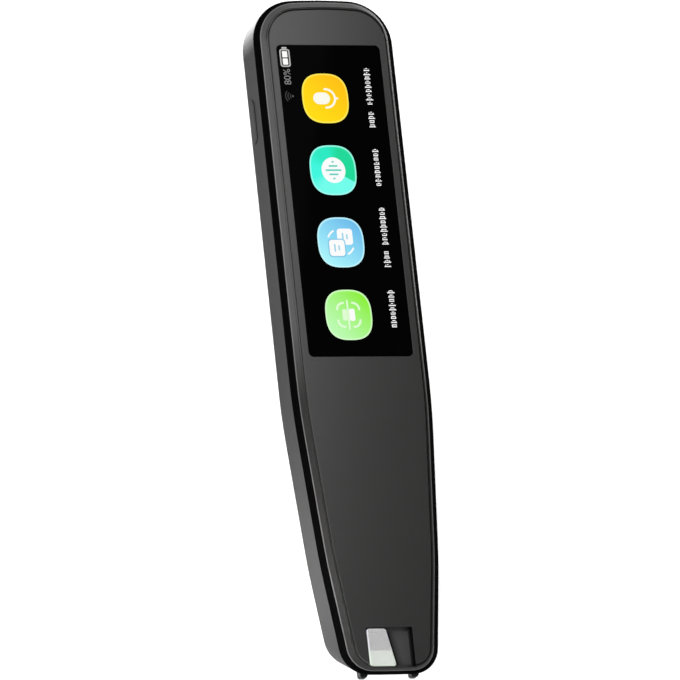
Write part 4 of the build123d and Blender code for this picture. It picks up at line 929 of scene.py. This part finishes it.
def pale_floor():
    """A plain pale floor."""
    finish = Finish("floor_paint", Roughness=0.9, Emission_Color=grey(1), Emission_Strength=0.25)
    finish.set("Base Color", finish.blend(finish.noise(0.2), grey(0.86), grey(0.88)))
    bm = bmesh.new()
    bmesh.ops.create_grid(bm, x_segments=1, y_segments=1, size=FLOOR_HALF)
    bmesh.ops.translate(bm, verts=bm.verts, vec=(0, 0, -FLOOR_DROP))
    floor = new_piece("floor", bm)
    floor.data.materials.append(finish.material)


def softbox(name, place, aim, width, height, power, spin=0.0, spread=180):
    """A soft rectangular lamp that faces a point, turned about its own line of sight."""
    lamp = bpy.data.lights.new(name, "AREA")
    lamp.shape = "RECTANGLE"
    lamp.size = width
    lamp.size_y = height
    lamp.energy = power
    lamp.spread = radians(spread)
    made = add_object(name, lamp)
    made.location = place
    facing = (Vector(aim) - Vector(place)).to_track_quat("-Z", "Y")
    made.rotation_euler = (facing @ Quaternion((0, 0, 1), radians(spin))).to_euler()
    made.visible_camera = False


pale_floor()
softbox("front_ceiling", (-1.0, -0.9, 1.5), PEN, 1.8, 1.8, power=44)
softbox("right_fill", (1.6, -0.7, 1.2), PEN, 1.2, 1.2, power=20)
softbox("back_fill", (-0.3, 1.8, 1.2), PEN, 1.2, 1.2, power=10)
softbox("sheen_box", (SHEEN_X, SHEEN_Y, 0.1), (SHEEN_X, SHEEN_Y, 0), 0.1, 0.22, power=0.2, spin=-13)
softbox("left_strip", (-0.24, 0.09, 0.16), PEN, 0.03, 0.3, power=0.08)
softbox("right_strip", (0.4, 0.25, 0.12), PEN, 0.1, 0.3, power=0.5)
softbox("front_lamp", (-0.3, -1.0, 0.25), PEN, 0.5, 0.3, power=3)
softbox("tip_lamp", (-0.11, -0.085, 0.014), (-0.015, -0.055, 0.004), 0.02, 0.015, power=0.018, spread=45)

world = bpy.data.worlds.new("studio")
world.use_nodes = True
background = world.node_tree.nodes["Background"]
background.inputs["Color"].default_value = grey(0.9)
background.inputs["Strength"].default_value = 0.12
bpy.context.scene.world = world
bpy.context.scene.view_settings.view_transform = "Standard"

# The camera looks down on the front, turned so that the pen leans a little to the left
CAMERA_BACK = Vector((-0.3226, -0.2857, 0.9024)).normalized()       # from the pen to the camera
CAMERA_UP = Vector((0.0056, 0.9527, 0.3036)).normalized()
CAMERA_AWAY = 2.0
SENSOR = 36.0
VIEW_WIDTH = 148.7 * MM      # seen at that distance
FRONT_POINT = Vector((0, -0.7 * MM, 12 * MM))       # near the middle of the front
FRAME_RIGHT = -4.156 * MM    # from the point on the front to the frame's middle
FRAME_UP = -1.62 * MM

camera = add_object("camera", bpy.data.cameras.new("camera"))
bpy.context.scene.camera = camera
camera_right = CAMERA_UP.cross(CAMERA_BACK).normalized()
camera_up = CAMERA_BACK.cross(camera_right)
camera.data.sensor_width = SENSOR
camera.data.lens = SENSOR * CAMERA_AWAY / VIEW_WIDTH
turned = Matrix((camera_right, camera_up, CAMERA_BACK)).transposed().to_4x4()
middle = FRONT_POINT + camera_right * FRAME_RIGHT + camera_up * FRAME_UP
camera.matrix_world = Matrix.Translation(middle + CAMERA_BACK * CAMERA_AWAY) @ turned
